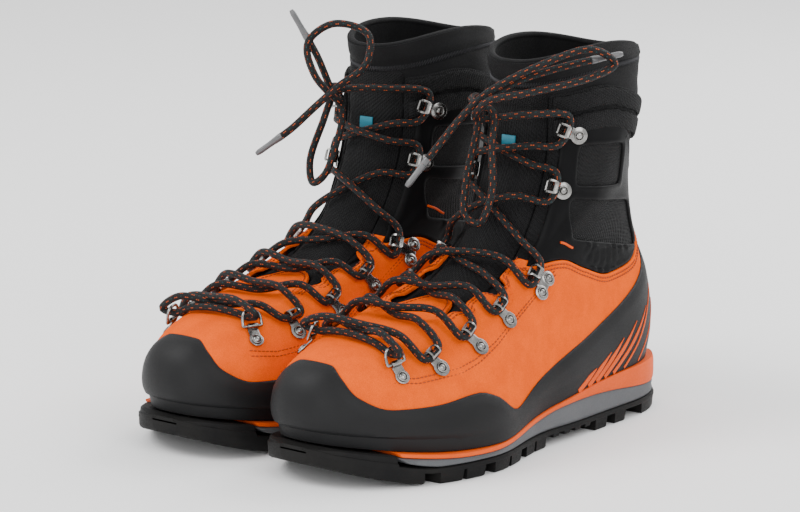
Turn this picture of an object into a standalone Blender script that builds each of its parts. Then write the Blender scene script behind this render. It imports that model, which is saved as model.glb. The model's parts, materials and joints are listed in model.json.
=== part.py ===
"""A pair of laced mountaineering boots, standing side by side on the ground, toes to -Y.

Lengths are in millimetres until a mesh is written. One boot is described in its own frame
(x outwards to the wearer's left, y toe to heel, z up) and the right boot is its mirror image.
"""

import math
from functools import partial

import bmesh
import bpy
from mathutils import Vector
from mathutils.bvhtree import BVHTree

# ---- driving dimensions -------------------------------------------------------------------
BOOT_LENGTH = 312.0      # outsole, toe tip to heel
BALL_WIDTH = 110.0       # outsole across the ball of the foot
UPPER_HEIGHT = 206.0     # from the sole's top edge to the cuff rim
BOOT_SPACING = 115.2     # centre to centre of the pair
LUG_HEIGHT = 6.6
OUTSOLE_BASE = 3.2
TOE_SPRING = 14.0        # how far the tip of the sole is lifted
TOE_SWING = 6.0          # how far the toe turns inwards
SOLE_WAVE = 5.0          # how far the sole's top edge dips under the ball and rises under the heel
BALL_FLARE = 7.5         # extra width of the sole at the outer ball
ARCH_RISE = 2.0          # the sole's underside at the arch, above its base elsewhere
LACE_DIAMETER = 4.6
FACING_GAP = 46.0        # width of the opening over the tongue
THROAT_Y = -36.0         # where that opening starts
GAP = 0.3                # left between pieces that touch
LEATHER = 1.9
RAND = 2.0
FABRIC = 1.9
OVERLAY = 1.3
LINING = 2.4
TONGUE = 3.1
METAL = 0.8
HOOK_WIDTH = 8.0
WEBBING = 1.5
STRAP_WIDTH = 18.0
STRAP_ENDS = (138.0, 190.0)  # heights between which the heel pull shows

MM = 0.001
KX = BALL_WIDTH / 110.0
KY = BOOT_LENGTH / 312.0
KZ = UPPER_HEIGHT / 206.0
SOLE_EDGE = 26.0         # height of the sole's top edge at the toe, the foot of every upper height

# Layers of the upper, as heights above the form's surface.
LEVEL_FABRIC = (-FABRIC, 0.0)
LEVEL_LINING = (-FABRIC - GAP - LINING, -FABRIC - GAP)
LEVEL_LEATHER = (GAP, GAP + LEATHER)
LEVEL_RAND = (2 * GAP + LEATHER, 2 * GAP + LEATHER + RAND)
LEVEL_OVERLAY = (GAP, GAP + OVERLAY)
LEVEL_TONGUE = (-FABRIC, TONGUE - FABRIC)
STRAP_FOOT = 2 * GAP + OVERLAY + 0.4
LEVEL_STRAP = (STRAP_FOOT, STRAP_FOOT + WEBBING)

# The form's front and back rails, one (y, z) at each station from the sole edge to the rim.
FRONT = [(-147, 26), (-151, 45), (-145, 61), (-126, 72), (-98, 78), (-66, 82), (-34, 90),
         (-5, 106), (17, 132), (31, 163), (34, 192), (34, 210), (30, 226)]
BACK = [(144, 34), (149, 54), (149, 76), (143, 102), (137, 128), (134, 150), (133, 169),
        (134, 185), (135, 198), (136, 208), (136, 216), (138, 221), (139, 226)]
SAG = [8, 8, 8, 6, 4, 3, 3, 2, 1, 0, -1, -5, -10]
BALL = [53, 54, 50, 42, 36, 33, 32, 33, 36, 39, 40, 39, 37]
WAIST = [43, 45, 43, 40, 37, 35, 36, 37, 39, 41, 41, 40, 37]
HEEL = [37, 38, 37, 35, 33, 33, 35, 37, 39, 40, 40, 39, 36]
STATIONS = len(FRONT) - 1
AROUND = 26              # facets round the form
UP = 12                  # facets from sole edge to rim

HARDWARE = {             # (angle, station) of each rivet and its loop: outer side, inner side
    "clip": ((41, 2.05, 37, 2.5), (-37, 2.4, -32, 2.9)),
    "eyelet_a": ((54, 2.2, 49, 2.65), (-53, 2.5, -47, 3.1)),
    "eyelet_b": ((67, 2.6, 60, 3.2), (-69, 2.8, -61, 3.5)),
    "eyelet_c": ((77, 3.15, 69, 3.85), (-81, 3.3, -71, 4.2)),
    "lock_hook": ((89, 3.85, 76, 4.9), (-94, 3.95, -76, 5.2)),
    "cuff_hook_a": ((53, 8.2, 37, 8.5), (-57, 8.3, -41, 8.6)),
    "cuff_hook_b": ((54, 9.4, 38, 9.7), (-58, 9.5, -42, 9.8)),
}


# ---- the form -------------------------------------------------------------------------------
def clamp(value):
    return min(1.0, max(0.0, value))


def smooth(value):
    value = clamp(value)
    return value * value * (3 - 2 * value)


def rounded(value, power):
    return (1 - (1 - clamp(value)) ** power) ** (1 / power)


def along(values, v):
    """Catmull-Rom through the station values."""
    v = min(max(v, 0.0), len(values) - 1.0)
    i = min(int(v), len(values) - 2)
    t = v - i
    b, c = values[i], values[i + 1]
    a = values[i - 1] if i else 2 * b - c
    d = values[i + 2] if i + 2 < len(values) else 2 * c - b
    return 0.5 * (2 * b + (c - a) * t + (2 * a - 5 * b + 4 * c - d) * t * t
                  + (3 * b - 3 * c + d - a) * t ** 3)


def curve_through(points, x):
    """Straight-line interpolation through (x, y) points."""
    if x <= points[0][0]:
        return points[0][1]
    for (x0, y0), (x1, y1) in zip(points, points[1:]):
        if x <= x1:
            return y0 + (y1 - y0) * (x - x0) / (x1 - x0)
    return points[-1][1]


def raised(z):
    """A height of the drawn upper, stretched with the upper's own height."""
    return SOLE_EDGE + (z - SOLE_EDGE) * KZ


def half_width(s, v, outer):
    """Half the form's width at the fraction s from front to back."""
    flare = BALL_FLARE * (1 - smooth(v / 2)) * smooth(s / 0.25) * (1 - smooth((s - 0.33) / 0.25))
    ball = along(BALL, v) + (flare if outer else -5.5 * smooth(1 - v / 4))
    waist = along(WAIST, v) - (0 if outer else 6 * smooth(1 - v / 4))
    heel = along(HEEL, v)
    width = ball + (waist - ball) * smooth((s - 0.30) / 0.28)
    return (width + (heel - waist) * smooth((s - 0.58) / 0.27)) * KX


def sole_wave(s, v):
    """How far the low part of the form dips at the fraction s from front to back."""
    return SOLE_WAVE * math.sin(2 * math.pi * s) * (1 - smooth(v / 2))


def form(angle, v):
    """The point of the form at this angle (degrees, 0 in front) and station."""
    phi = math.radians(angle)
    s = (1 - math.cos(phi)) / 2
    outer = math.sin(phi) >= 0
    toe = 0.36 + 0.12 * smooth(v / 5)
    heel = 0.20 + 0.27 * smooth(v / 9)
    cap = rounded(s / toe, 2.3) * rounded((1 - s) / heel, 2.2)
    swing = -TOE_SWING * smooth(1 - v / 8) * (1 - smooth(s / 0.45))
    x = swing * KX + math.copysign(1, math.sin(phi)) * half_width(s, v, outer) * cap
    y0, y1 = along([p[0] for p in FRONT], v), along([p[0] for p in BACK], v)
    z0, z1 = along([p[1] for p in FRONT], v), along([p[1] for p in BACK], v)
    z = z0 + (z1 - z0) * s - along(SAG, v) * 4 * s * (1 - s) - sole_wave(s, v)
    return Vector((x, (y0 + (y1 - y0) * s) * KY, raised(z)))


def edge_height(y):
    """Height of the sole's top edge at y: the form's lowest ring depends on y alone."""
    s = clamp((y / KY - FRONT[0][0]) / (BACK[0][0] - FRONT[0][0]))
    low = FRONT[0][1] + (BACK[0][1] - FRONT[0][1]) * s - SAG[0] * 4 * s * (1 - s)
    return raised(low - sole_wave(s, 0))


def facet_grid():
    """Points and outward normals of the faceted form, shared by every layer of the upper."""
    points, normals = {}, {}
    for i in range(AROUND + 1):
        for j in range(UP + 1):
            points[i, j] = form((i % AROUND) * 360 / AROUND, j * STATIONS / UP)
    for i in range(AROUND):
        for j in range(UP + 1):
            side = points[i + 1, j] - points[(i - 1) % AROUND, j]
            rise = points[i, min(j + 1, UP)] - points[i, max(j - 1, 0)]
            normal = rise.cross(side) * -1
            if j == 0:
                normal.z = 0
            normals[i, j] = normal.normalized()
    for j in range(UP + 1):
        normals[AROUND, j] = normals[0, j]
    return points, normals


POINTS, NORMALS = facet_grid()


def corner(i, j):
    return (Vector((i * 360 / AROUND, j * STATIONS / UP)), POINTS[i, j], NORMALS[i, j])


def facets():
    for i in range(AROUND):
        for j in range(UP):
            a, b, c, d = corner(i, j), corner(i + 1, j), corner(i + 1, j + 1), corner(i, j + 1)
            yield [a, b, c]
            yield [a, c, d]


def form_tree():
    """Search tree of the faceted form, for resting things on it."""
    vertices, faces = [], []
    for facet in facets():
        faces.append(range(len(vertices), len(vertices) + 3))
        vertices += [c[1] for c in facet]
    return BVHTree.FromPolygons([tuple(v) for v in vertices], [tuple(f) for f in faces])


TREE = form_tree()


def on_form(angle, v):
    """(point, normal) of the faceted form."""
    point, normal = TREE.find_nearest(form(angle, v))[:2]
    inner = Vector((0, point.y * 0.6 + 20, min(point.z, 60) * 0.6 + 20))
    if normal.dot(point - inner) < 0:
        normal = -normal
    return point, normal


# ---- closed meshes --------------------------------------------------------------------------
def split(polygon, cut):
    """The parts of a polygon where cut is positive and where it is negative."""
    values = [cut(c) for c in polygon]
    if all(v >= -1e-6 for v in values):
        return polygon, []
    if all(v <= 1e-6 for v in values):
        return [], polygon
    above, below = [], []
    for k, here in enumerate(polygon):
        there, f0, f1 = polygon[(k + 1) % len(polygon)], values[k], values[(k + 1) % len(polygon)]
        (above if f0 >= 0 else below).append(here)
        if (f0 >= 0) != (f1 >= 0):
            t = f0 / (f0 - f1)
            if 1e-5 < t < 1 - 1e-5:
                met = tuple(p.lerp(q, t) for p, q in zip(here, there))
                above.append(met)
                below.append(met)
            elif f0 < 0:
                above.append(here if t <= 1e-5 else there)
            else:
                below.append(here if t <= 1e-5 else there)
    return above, below


def layer(cuts, level, keep=all):
    """A closed shell between two heights over the facets, where keep(signs of the cuts)."""
    lower, upper = level
    index, vertices, faces, edges = {}, [], [], {}

    def vertex(c):
        key = tuple(round(x, 2) for x in c[1])
        if key not in index:
            index[key] = len(index)
            vertices.append(c[1] + c[2] * upper)
            vertices.append(c[1] + c[2] * lower)
        return index[key]

    for facet in facets():
        pieces = [(facet, ())]
        for cut in cuts:
            parted = []
            for piece, signs in pieces:
                above, below = split(piece, cut)
                if len(above) > 2:
                    parted.append((above, signs + (True,)))
                if len(below) > 2:
                    parted.append((below, signs + (False,)))
            pieces = parted
        for piece, signs in pieces:
            if not keep(signs):
                continue
            ring = []
            for c in piece:
                n = vertex(c)
                if n not in ring:
                    ring.append(n)
            if len(ring) < 3:
                continue
            faces.append([2 * n for n in ring])
            faces.append([2 * n + 1 for n in reversed(ring)])
            for a, b in zip(ring, ring[1:] + ring[:1]):
                if (b, a) in edges:
                    del edges[b, a]
                else:
                    edges[a, b] = True
    for a, b in edges:
        faces.append([2 * b, 2 * a, 2 * a + 1, 2 * b + 1])
    return vertices, faces


def slab(stations, edge, bottom, top):
    """A closed slab whose outline is edge(y, side) and whose faces depend on y alone."""
    vertices, faces = [], []
    for y in stations:
        for side in (-1, 1):
            x = edge(y, side)
            vertices += [Vector((x, y, bottom(y))), Vector((x, y, top(y)))]
    last = len(stations) - 1
    for k in range(last):
        a, b = 4 * k, 4 * k + 4
        faces += [[a, b, b + 2, a + 2], [a + 1, a + 3, b + 3, b + 1]]
        faces += [[a, a + 1, b + 1, b], [a + 2, b + 2, b + 3, a + 3]]
    faces += [[0, 2, 3, 1], [4 * last, 4 * last + 1, 4 * last + 3, 4 * last + 2]]
    return vertices, faces


def strip(path, thickness, width):
    """A folded strip: the path in (c, n), thickened to its left, width wide along a."""
    left = []
    for k, p in enumerate(path):
        before = path[max(k - 1, 0)]
        after = path[min(k + 1, len(path) - 1)]
        direction = (Vector(after) - Vector(before)).normalized()
        left.append((p[0] - direction.y * thickness, p[1] + direction.x * thickness))
    count = len(path)
    vertices = []
    for a in (-width / 2, width / 2):
        vertices += [Vector((a, p[0], p[1])) for p in path]
        vertices += [Vector((a, p[0], p[1])) for p in left]
    faces = []
    step = 2 * count
    for k in range(count - 1):
        faces.append([k, k + 1, count + k + 1, count + k])
        faces.append([step + k, step + count + k, step + count + k + 1, step + k + 1])
        faces.append([k, step + k, step + k + 1, k + 1])
        faces.append([count + k, count + k + 1, step + count + k + 1, step + count + k])
    faces.append([0, count, step + count, step])
    last = count - 1
    faces.append([last, step + last, step + count + last, count + last])
    return vertices, faces


def dome(radius, height, base, sides=8):
    """A rivet head along n, its foot at the height base."""
    vertices, faces = [], []
    rings = ((radius, base), (radius, base + height * 0.45), (radius * 0.6, base + height))
    for r, n in rings:
        for k in range(sides):
            a = 2 * math.pi * k / sides
            vertices.append(Vector((r * math.cos(a), r * math.sin(a), n)))
    for ring in range(2):
        for k in range(sides):
            a, b = ring * sides + k, ring * sides + (k + 1) % sides
            faces.append([a, b, b + sides, a + sides])
    faces.append(list(range(sides))[::-1])
    faces.append(list(range(2 * sides, 3 * sides)))
    return vertices, faces


def shifted(part, offset):
    return [v + Vector(offset) for v in part[0]], part[1]


def tube(path, radius, sides, closed=False):
    """A round wire along the path, its cross-section carried along without a twist."""
    vertices, faces = [], []
    count = len(path)
    across = None
    for k, p in enumerate(path):
        before = path[(k - 1) % count if closed else max(k - 1, 0)]
        after = path[(k + 1) % count if closed else min(k + 1, count - 1)]
        direction = (after - before).normalized()
        if across is None:
            across = direction.orthogonal()
        across = (across - direction * across.dot(direction)).normalized()
        other = direction.cross(across)
        for m in range(sides):
            a = 2 * math.pi * m / sides
            vertices.append(p + (across * math.cos(a) + other * math.sin(a)) * radius)
    for k in range(count if closed else count - 1):
        for m in range(sides):
            a, b = k * sides + m, k * sides + (m + 1) % sides
            c, d = (k + 1) % count * sides + (m + 1) % sides, (k + 1) % count * sides + m
            faces.append([a, b, c, d])
    if not closed:
        faces.append(list(range(sides))[::-1])
        faces.append([(count - 1) * sides + m for m in range(sides)])
    return vertices, faces


# ---- objects --------------------------------------------------------------------------------
def material(name, colour, roughness, metallic=0.0):
    made = bpy.data.materials.new(name)
    made.use_nodes = True
    shader = made.node_tree.nodes["Principled BSDF"]
    shader.inputs["Base Color"].default_value = (*colour, 1)
    shader.inputs["Roughness"].default_value = roughness
    shader.inputs["Metallic"].default_value = metallic
    made.diffuse_color = (*colour, 1)
    return made


def merge_flat(mesh):
    """Joins faces that lie in one plane, which the cuts across a facet leave behind."""
    work = bmesh.new()
    work.from_mesh(mesh)
    bmesh.ops.dissolve_limit(work, angle_limit=math.radians(0.3), use_dissolve_boundaries=False,
                             verts=work.verts, edges=work.edges)
    work.to_mesh(mesh)
    work.free()


def write(name, part, boot, paint, pivot=None, smooth_shade=False):
    """The object of one sub-part, mirrored for the right boot and hung on its boot's empty."""
    vertices, faces = part
    side = boot["side"]
    origin = pivot or Vector((0, 0, 0))
    points = []
    for v in vertices:
        p = v - origin
        points.append((side * p.x * MM, p.y * MM, p.z * MM))
    if side < 0:
        faces = [list(reversed(f)) for f in faces]
    mesh = bpy.data.meshes.new(name)
    mesh.from_pydata(points, [], faces)
    merge_flat(mesh)
    obj = bpy.data.objects.new(f"{boot['name']}_{name}", mesh)
    bpy.context.scene.collection.objects.link(obj)
    obj.location = (side * origin.x * MM, origin.y * MM, origin.z * MM)
    obj.parent = boot["empty"]
    obj.data.materials.append(material(obj.name, *paint))
    if smooth_shade:
        for polygon in mesh.polygons:
            polygon.use_smooth = True
    return obj


def joined(name, parts, boot, paint, pivot=None):
    """One body made of overlapping closed parts with an EXACT union."""
    base = write(name, parts[0], boot, paint, pivot)
    for k, extra in enumerate(parts[1:]):
        tool = write(f"{name}_add{k}", extra, boot, paint, pivot)
        union = base.modifiers.new("Union", "BOOLEAN")
        union.operation = "UNION"
        union.solver = "EXACT"
        union.object = tool
        bpy.context.view_layer.update()
        graph = bpy.context.evaluated_depsgraph_get()
        mesh = bpy.data.meshes.new_from_object(base.evaluated_get(graph))
        base.modifiers.clear()
        base.data = mesh
        paint_left = tool.data.materials[0]
        bpy.data.objects.remove(tool)
        bpy.data.materials.remove(paint_left)
    base.data.materials.clear()
    base.data.materials.append(bpy.data.materials[base.name])
    return base


# ---- paints: linear colour, roughness, metallic -----------------------------------------------
RUBBER = ((0.016, 0.016, 0.018), 0.62)
SUEDE = ((0.86, 0.20, 0.012), 0.85)
BAND = ((0.80, 0.17, 0.02), 0.55)
GREY = ((0.14, 0.145, 0.15), 0.6)
MESH = ((0.012, 0.012, 0.013), 0.9)
MATTE = ((0.022, 0.022, 0.024), 0.55)
KNIT = ((0.014, 0.014, 0.016), 0.8)
FLEECE = ((0.03, 0.03, 0.034), 0.95)
CORD = ((0.02, 0.02, 0.022), 0.7)
STEEL = ((0.45, 0.45, 0.46), 0.3, 1.0)
BOARD = ((0.3, 0.25, 0.18), 0.9)
FOAM = ((0.09, 0.09, 0.1), 0.95)


# ---- the upper ----------------------------------------------------------------------------------
RAND_TOP = [(0, 2.6), (9, 2.5), (18, 2.0), (26, 1.5), (38, 1.15), (52, 1.2), (66, 1.35),
            (72, 1.1), (80, 0.6), (92, 1.1), (106, 1.65), (125, 2.15), (155, 2.7), (180, 3.3)]
LEATHER_TOP = [(0, 7.0), (50, 6.85), (72, 5.4), (97, 4.4), (110, 3.65), (124, 3.1), (140, 3.0),
               (158, 3.3), (180, 3.9)]


SHELL_TUCK = 0.9         # stations that the ankle shell reaches down behind the leather
OVERLAY_CLEAR = 0.14     # stations left between the leather and the overlay


def around(angle):
    """The angle folded to 0..180, the same on both sides."""
    angle %= 360
    return angle if angle <= 180 else 360 - angle


def under_rand_top(c):
    return curve_through(RAND_TOP, around(c[0].x)) - c[0].y


def under_leather_top(c):
    return curve_through(LEATHER_TOP, around(c[0].x)) - c[0].y


def outside_opening(margin):
    """Positive away from the opening over the tongue, whose half width is eased by margin."""
    def cut(c):
        x, y = abs(c[1].x), c[1].y
        return max(x - (FACING_GAP / 2 + margin) * KX, (THROAT_Y * KY - margin) - y,
                   y - 80 * KY)
    return cut


def under_height(profile, margin=0.0):
    """Positive below a line given as (y, z) points of the side view."""
    def cut(c):
        return raised(curve_through(profile, c[1].y / KY)) + margin - c[1].z
    return cut


COLLAR = [(20, 204), (45, 208), (72, 212), (105, 205), (140, 193)]
OVERLAY_TOP = [(30, 184), (46, 190), (82, 189), (124, 155), (140, 150)]
CUFF_START = [(20, 185), (60, 190), (105, 183), (140, 172)]
WINDOW_A = [(52, 152), (101, 147), (93, 175), (55, 177)]
WINDOW_B = [(48, 120), (127, 104), (119, 134), (48, 145)]


def half_plane(a, b):
    """Positive on the left of the line a to b in the side view."""
    def cut(c):
        y, z = c[1].y / KY, SOLE_EDGE + (c[1].z - SOLE_EDGE) / KZ
        return (b[0] - a[0]) * (z - a[1]) - (b[1] - a[1]) * (y - a[0])
    return cut


def leather_upper(boot):
    part = layer([under_leather_top, outside_opening(0)], LEVEL_LEATHER)
    write("leather_upper", part, boot, SUEDE, smooth_shade=True)


def rand(boot):
    write("rand", layer([under_rand_top], LEVEL_RAND), boot, RUBBER, smooth_shade=True)


def ankle_shell(boot):
    def over_leather_foot(c):
        return SHELL_TUCK - under_leather_top(c)
    cuts = [over_leather_foot, outside_opening(0), under_height(COLLAR)]
    write("ankle_shell", layer(cuts, LEVEL_FABRIC), boot, MESH, smooth_shade=True)


def ankle_overlay(boot):
    def over_leather(c):
        return -OVERLAY_CLEAR - under_leather_top(c)
    cuts = [over_leather, outside_opening(6), under_height(OVERLAY_TOP)]
    for window in (WINDOW_A, WINDOW_B):
        cuts += [half_plane(a, b) for a, b in zip(window, window[1:] + window[:1])]

    def keep(signs):
        first = 3 + len(WINDOW_A)
        return all(signs[:3]) and not all(signs[3:first]) and not all(signs[first:])
    write("ankle_overlay", layer(cuts, LEVEL_OVERLAY, keep), boot, MATTE, smooth_shade=True)


def tongue(boot):
    def inside_opening(c):
        return -outside_opening(-1.5)(c)
    cuts = [inside_opening, under_height(COLLAR, 4)]
    write("tongue", layer(cuts, LEVEL_TONGUE), boot, MESH, smooth_shade=True)


def lining(boot):
    def above_sole(c):
        return c[0].y - 1.3
    cuts = [above_sole, under_height(CUFF_START, -1)]
    write("lining", layer(cuts, LEVEL_LINING), boot, FLEECE, smooth_shade=True)


def stretch_cuff(boot):
    def over_start(c):
        return -under_height(CUFF_START)(c)
    write("stretch_cuff", layer([over_start], LEVEL_LINING), boot, KNIT, smooth_shade=True)


def pull_strap(boot):
    def at_back(c):
        return c[1].y - 100 * KY

    def in_width(c):
        return STRAP_WIDTH / 2 - abs(c[1].x)

    def over_foot(c):
        return c[1].z - raised(STRAP_ENDS[0])

    def under_top(c):
        return raised(STRAP_ENDS[1]) - c[1].z
    part = layer([at_back, in_width, over_foot, under_top], LEVEL_STRAP)
    write("pull_strap", part, boot, MATTE)


# ---- the sole -------------------------------------------------------------------------------------
TIP, TAIL = -BOOT_LENGTH / 2, BOOT_LENGTH / 2


def sole_edge(margin, y, side):
    """x of an outline margin mm wider than the form's lowest ring."""
    front, back = FRONT[0][0] * KY - margin - 3, BACK[0][0] * KY + margin + 5.5
    s = clamp((y - front) / (back - front))
    cap = rounded(s / 0.34 + 0.02, 2.4) * rounded((1 - s) / 0.20 + 0.01, 2.2)
    swing = -TOE_SWING * KX * (1 - smooth(s / 0.45))
    return swing + side * (half_width(s, 0, side > 0) + margin) * cap


def sole_stations(start, end, count=18):
    """Stations closer together where the outline turns, at both ends."""
    stations = []
    for k in range(count + 1):
        t = k / count
        t = 0.6 * (1 - math.cos(math.pi * t)) / 2 + 0.4 * t
        stations.append(start + (end - start) * t)
    return stations


def ground(y):
    """Underside of the lugs."""
    toe = clamp((-100 * KY - y) / (56 * KY))
    heel = clamp((y - TAIL) / (9 * KY) + 1)
    return TOE_SPRING * toe ** 1.5 + 3 * heel * heel


def arch(y):
    return smooth((y / KY + 8) / 25) * (1 - smooth((y / KY - 50) / 14))


def outsole_top(y):
    return ground(y) + LUG_HEIGHT + OUTSOLE_BASE


def band_height(y):
    return 2.6 + 13.0 * smooth((y / KY - 15) / 135)


def band_top(y):
    return edge_height(y) - 0.9


def band_bottom(y):
    return band_top(y) - band_height(y)


LUG_PITCH = 20.0
LUG_LENGTH = 13.0
ARCH_START = -2.0        # the bare arch, from here to the heel's first lug
HEEL_START = 57.0
SOLE_STEP = -122.0       # in front of this the outsole is a full-height block
LEDGE_DROP = 7.0         # the crampon ledge below the block's top


SOLE_COLUMNS = (-1, -0.89, -0.62, -0.16, 0.16, 0.62, 0.89, 1)
FIRST_LUG = TIP / KY + 6
LAST_LUG = TAIL / KY - 9


def sole_rows():
    """Stations of the outsole: both ends of every lug, and where its shape changes."""
    fore = [FIRST_LUG + LUG_PITCH * k + start for k in range(8) for start in (0, LUG_LENGTH)]
    heel = [HEEL_START + LUG_PITCH * k + start for k in range(4) for start in (0, LUG_LENGTH)]
    tips = [TIP / KY + 0.5, TIP / KY + 2, LAST_LUG, TAIL / KY - 3.5, TAIL / KY - 0.5]
    middle = [ARCH_START + 8, 24, 42, SOLE_STEP]
    return sorted(y * KY for y in fore + heel + tips + middle if y < TAIL / KY)


def is_lug(y, column):
    """Whether the cell at y (of the drawn boot) and this column reaches the ground."""
    if y < FIRST_LUG or y > LAST_LUG:
        return True
    if ARCH_START < y < HEEL_START or column in (2, 4):
        return False
    start = FIRST_LUG if y < ARCH_START else HEEL_START
    shift = LUG_PITCH / 2 if column == 3 else 0
    return (y - start + shift) % LUG_PITCH < LUG_LENGTH


def top_kind(y, column):
    """0 under the midsole, 1 on the crampon ledge, 2 on the block in front."""
    if y > SOLE_STEP:
        return 0
    return 1 if y < FIRST_LUG or column in (0, 6) else 2


def top_z(kind, y):
    if kind == 0:
        return outsole_top(y)
    return band_top(y) - (LEDGE_DROP if kind == 1 else 0)


def bottom_z(lug, y):
    return ground(y) + (0 if lug else LUG_HEIGHT + ARCH_RISE * arch(y))


def outsole(boot):
    """Cells between rows and columns, each with its own underside and top."""
    rows = sole_rows()
    cells = {}
    for i in range(len(rows) - 1):
        middle = (rows[i] + rows[i + 1]) / 2 / KY
        for j in range(len(SOLE_COLUMNS) - 1):
            cells[i, j] = (is_lug(middle, j), top_kind(middle, j))
    vertices, index, faces = [], {}, []

    def vertex(i, j, z):
        key = (i, j, round(z, 4))
        if key not in index:
            left, right = sole_edge(6.2, rows[i], -1), sole_edge(6.2, rows[i], 1)
            x = (left + right) / 2 + SOLE_COLUMNS[j] * (right - left) / 2
            index[key] = len(vertices)
            vertices.append(Vector((x, rows[i], z)))
        return index[key]

    for (i, j), (lug, top) in cells.items():
        round_cell = [(i, j), (i + 1, j), (i + 1, j + 1), (i, j + 1)]
        faces.append([vertex(a, b, bottom_z(lug, rows[a])) for a, b in round_cell])
        faces.append([vertex(a, b, top_z(top, rows[a])) for a, b in reversed(round_cell)])
    heights = {}
    for i, j, z in index:
        heights.setdefault((i, j), []).append(z)

    def wall(ends, low, high):
        """A side face between two corners, through every height met on its ends."""
        ring = []
        for i, j in ends:
            bottom, top = round(low(rows[i]), 4), round(high(rows[i]), 4)
            ring.append([vertex(i, j, z) for z in sorted(heights[i, j]) if bottom <= z <= top])
        faces.append(ring[0] + ring[1][::-1])

    for (i, j), (lug, top) in cells.items():
        low, high = partial(bottom_z, lug), partial(top_z, top)
        sides = {(i - 1, j): ((i, j + 1), (i, j)), (i + 1, j): ((i + 1, j), (i + 1, j + 1)),
                 (i, j - 1): ((i, j), (i + 1, j)), (i, j + 1): ((i + 1, j + 1), (i, j + 1))}
        for beside, ends in sides.items():
            if beside not in cells:
                wall(ends, low, high)
                continue
            other_lug, other_top = cells[beside]
            if lug and not other_lug:
                wall(ends, low, partial(bottom_z, False))
            if top > other_top:
                wall(ends, partial(top_z, other_top), high)
    write("outsole", (vertices, faces), boot, RUBBER)


def midsole(boot):
    stations = sole_stations(SOLE_STEP * KY + 0.5, BACK[0][0] * KY + 4.5)
    write("midsole", slab(stations, lambda y, side: sole_edge(5.2, y, side),
                          lambda y: outsole_top(y) + GAP, lambda y: band_bottom(y) - GAP),
          boot, GREY)


def welt_band(boot):
    stations = sole_stations(SOLE_STEP * KY + 0.5, BACK[0][0] * KY + 5.0)
    write("welt_band", slab(stations, lambda y, side: sole_edge(5.8, y, side), band_bottom,
                            band_top), boot, BAND)


def lasting_board(boot):
    stations = sole_stations(FRONT[0][0] * KY + 12, BACK[0][0] * KY - 12)
    write("lasting_board", slab(stations, lambda y, side: sole_edge(-9, y, side),
                                lambda y: edge_height(y) - 0.4, lambda y: edge_height(y) + 1.8),
          boot, BOARD)


def footbed(boot):
    stations = sole_stations(FRONT[0][0] * KY + 13, BACK[0][0] * KY - 13)
    write("footbed", slab(stations, lambda y, side: sole_edge(-10, y, side),
                          lambda y: edge_height(y) + 2.1, lambda y: edge_height(y) + 6.5),
          boot, FOAM)


# ---- hardware ---------------------------------------------------------------------------------------
RIVET = 3.1
RIVET_HEIGHT = 1.5
RIVET_REST = 1.2         # plate left beyond a rivet head
LOCK_RIVET_PITCH = 7.5
RING_RIVET = 2.4
RING_CLIP_WIDTH = HOOK_WIDTH - 1.5
HOOK_ROOM = LACE_DIAMETER + 2.0
RING_CLEAR = 6.6 + LACE_DIAMETER * 2      # the lace's height where it leaves over a D-ring
HOOK_LIP = 3.4           # how far a hook's roof reaches back over the lace
RING_PASS = (-3.6, 7.2)  # the lace under and over a D-ring's bow
EYELET_PASS = HOOK_WIDTH / 2 + 2.7        # straight run of the lace on each side of a tunnel
HOOK_PASS = (HOOK_WIDTH + LACE_DIAMETER) / 2 + 2.4
HOOK_CENTRE = 1.9        # the lace's place under a hook's roof
CROSS_LIFT = 5.5         # lift of a crossing near its fittings
PLATE_LIFT = 1.1         # clears the curve of the leather under the flat plates
LACE_ROOM = LACE_DIAMETER / 2 + 0.9


def seat(entry, height):
    """(origin, a, c, n) at a loop: a runs along the facing, c towards the rivet, n outwards."""
    angle, v, loop_angle, loop_v = entry
    foot, _ = on_form(angle, v)
    loop, normal = on_form(loop_angle, loop_v)
    _, other = on_form(angle, v)
    normal = (normal + other).normalized()
    c = foot - loop
    reach = c.length
    c = (c - normal * c.dot(normal)).normalized()
    a = c.cross(normal).normalized()
    return loop + normal * height, a, c, normal, max(reach, RIVET + LACE_DIAMETER / 2 + 3.2)


def placed(part, frame):
    origin, a, c, n = frame[:4]
    return [origin + a * v.x + c * v.y + n * v.z for v in part[0]], part[1]


def fold_path(room, back):
    """Round the lace's tunnel from its open lip down to the plate, then out to the rivet."""
    centre = room + METAL
    path = [(back, METAL)]
    for k in range(7):
        turn = math.radians(-90 - 50 * k)
        path.append((room * math.cos(turn), centre + room * math.sin(turn)))
    return path


def eyelet(boot, name, entry):
    """A plate folded over into a tunnel for the lace, with a domed rivet through it."""
    frame = seat(entry, GAP + LEATHER + PLATE_LIFT)
    reach = frame[4]
    path = fold_path(LACE_ROOM, reach + RIVET + RIVET_REST)
    body = placed(strip(path, METAL, HOOK_WIDTH), frame)
    head = placed(shifted(dome(RIVET, RIVET_HEIGHT, METAL * 0.5), (0, reach, 0)), frame)
    joined(name, [body, head], boot, STEEL)
    return frame


def hook(boot, name, entry, height, rivets):
    """A plate turned up and back over the lace, open towards the rivet."""
    frame = seat(entry, height + PLATE_LIFT + 0.4)
    reach = frame[4]
    roof = METAL + HOOK_ROOM
    path = [(reach + RIVET + RIVET_REST, METAL), (0.6, METAL), (-1.0, METAL + 0.8),
            (-1.6, METAL + 2.6), (-1.4, roof - 0.8), (-0.2, roof), (HOOK_LIP, roof + 0.5)]
    body = placed(strip(path, METAL, HOOK_WIDTH), frame)
    parts = [body]
    for back in rivets:
        head = shifted(dome(RIVET, RIVET_HEIGHT, METAL * 0.5), (0, reach - back, 0))
        parts.append(placed(head, frame))
    joined(name, parts, boot, STEEL)
    return frame


RING_WIRE = 0.9
RING_LENGTH = 9.5
RING_WIDTH = 12.0
RING_LEAN = 0.55         # rise of the ring over its reach


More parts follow.
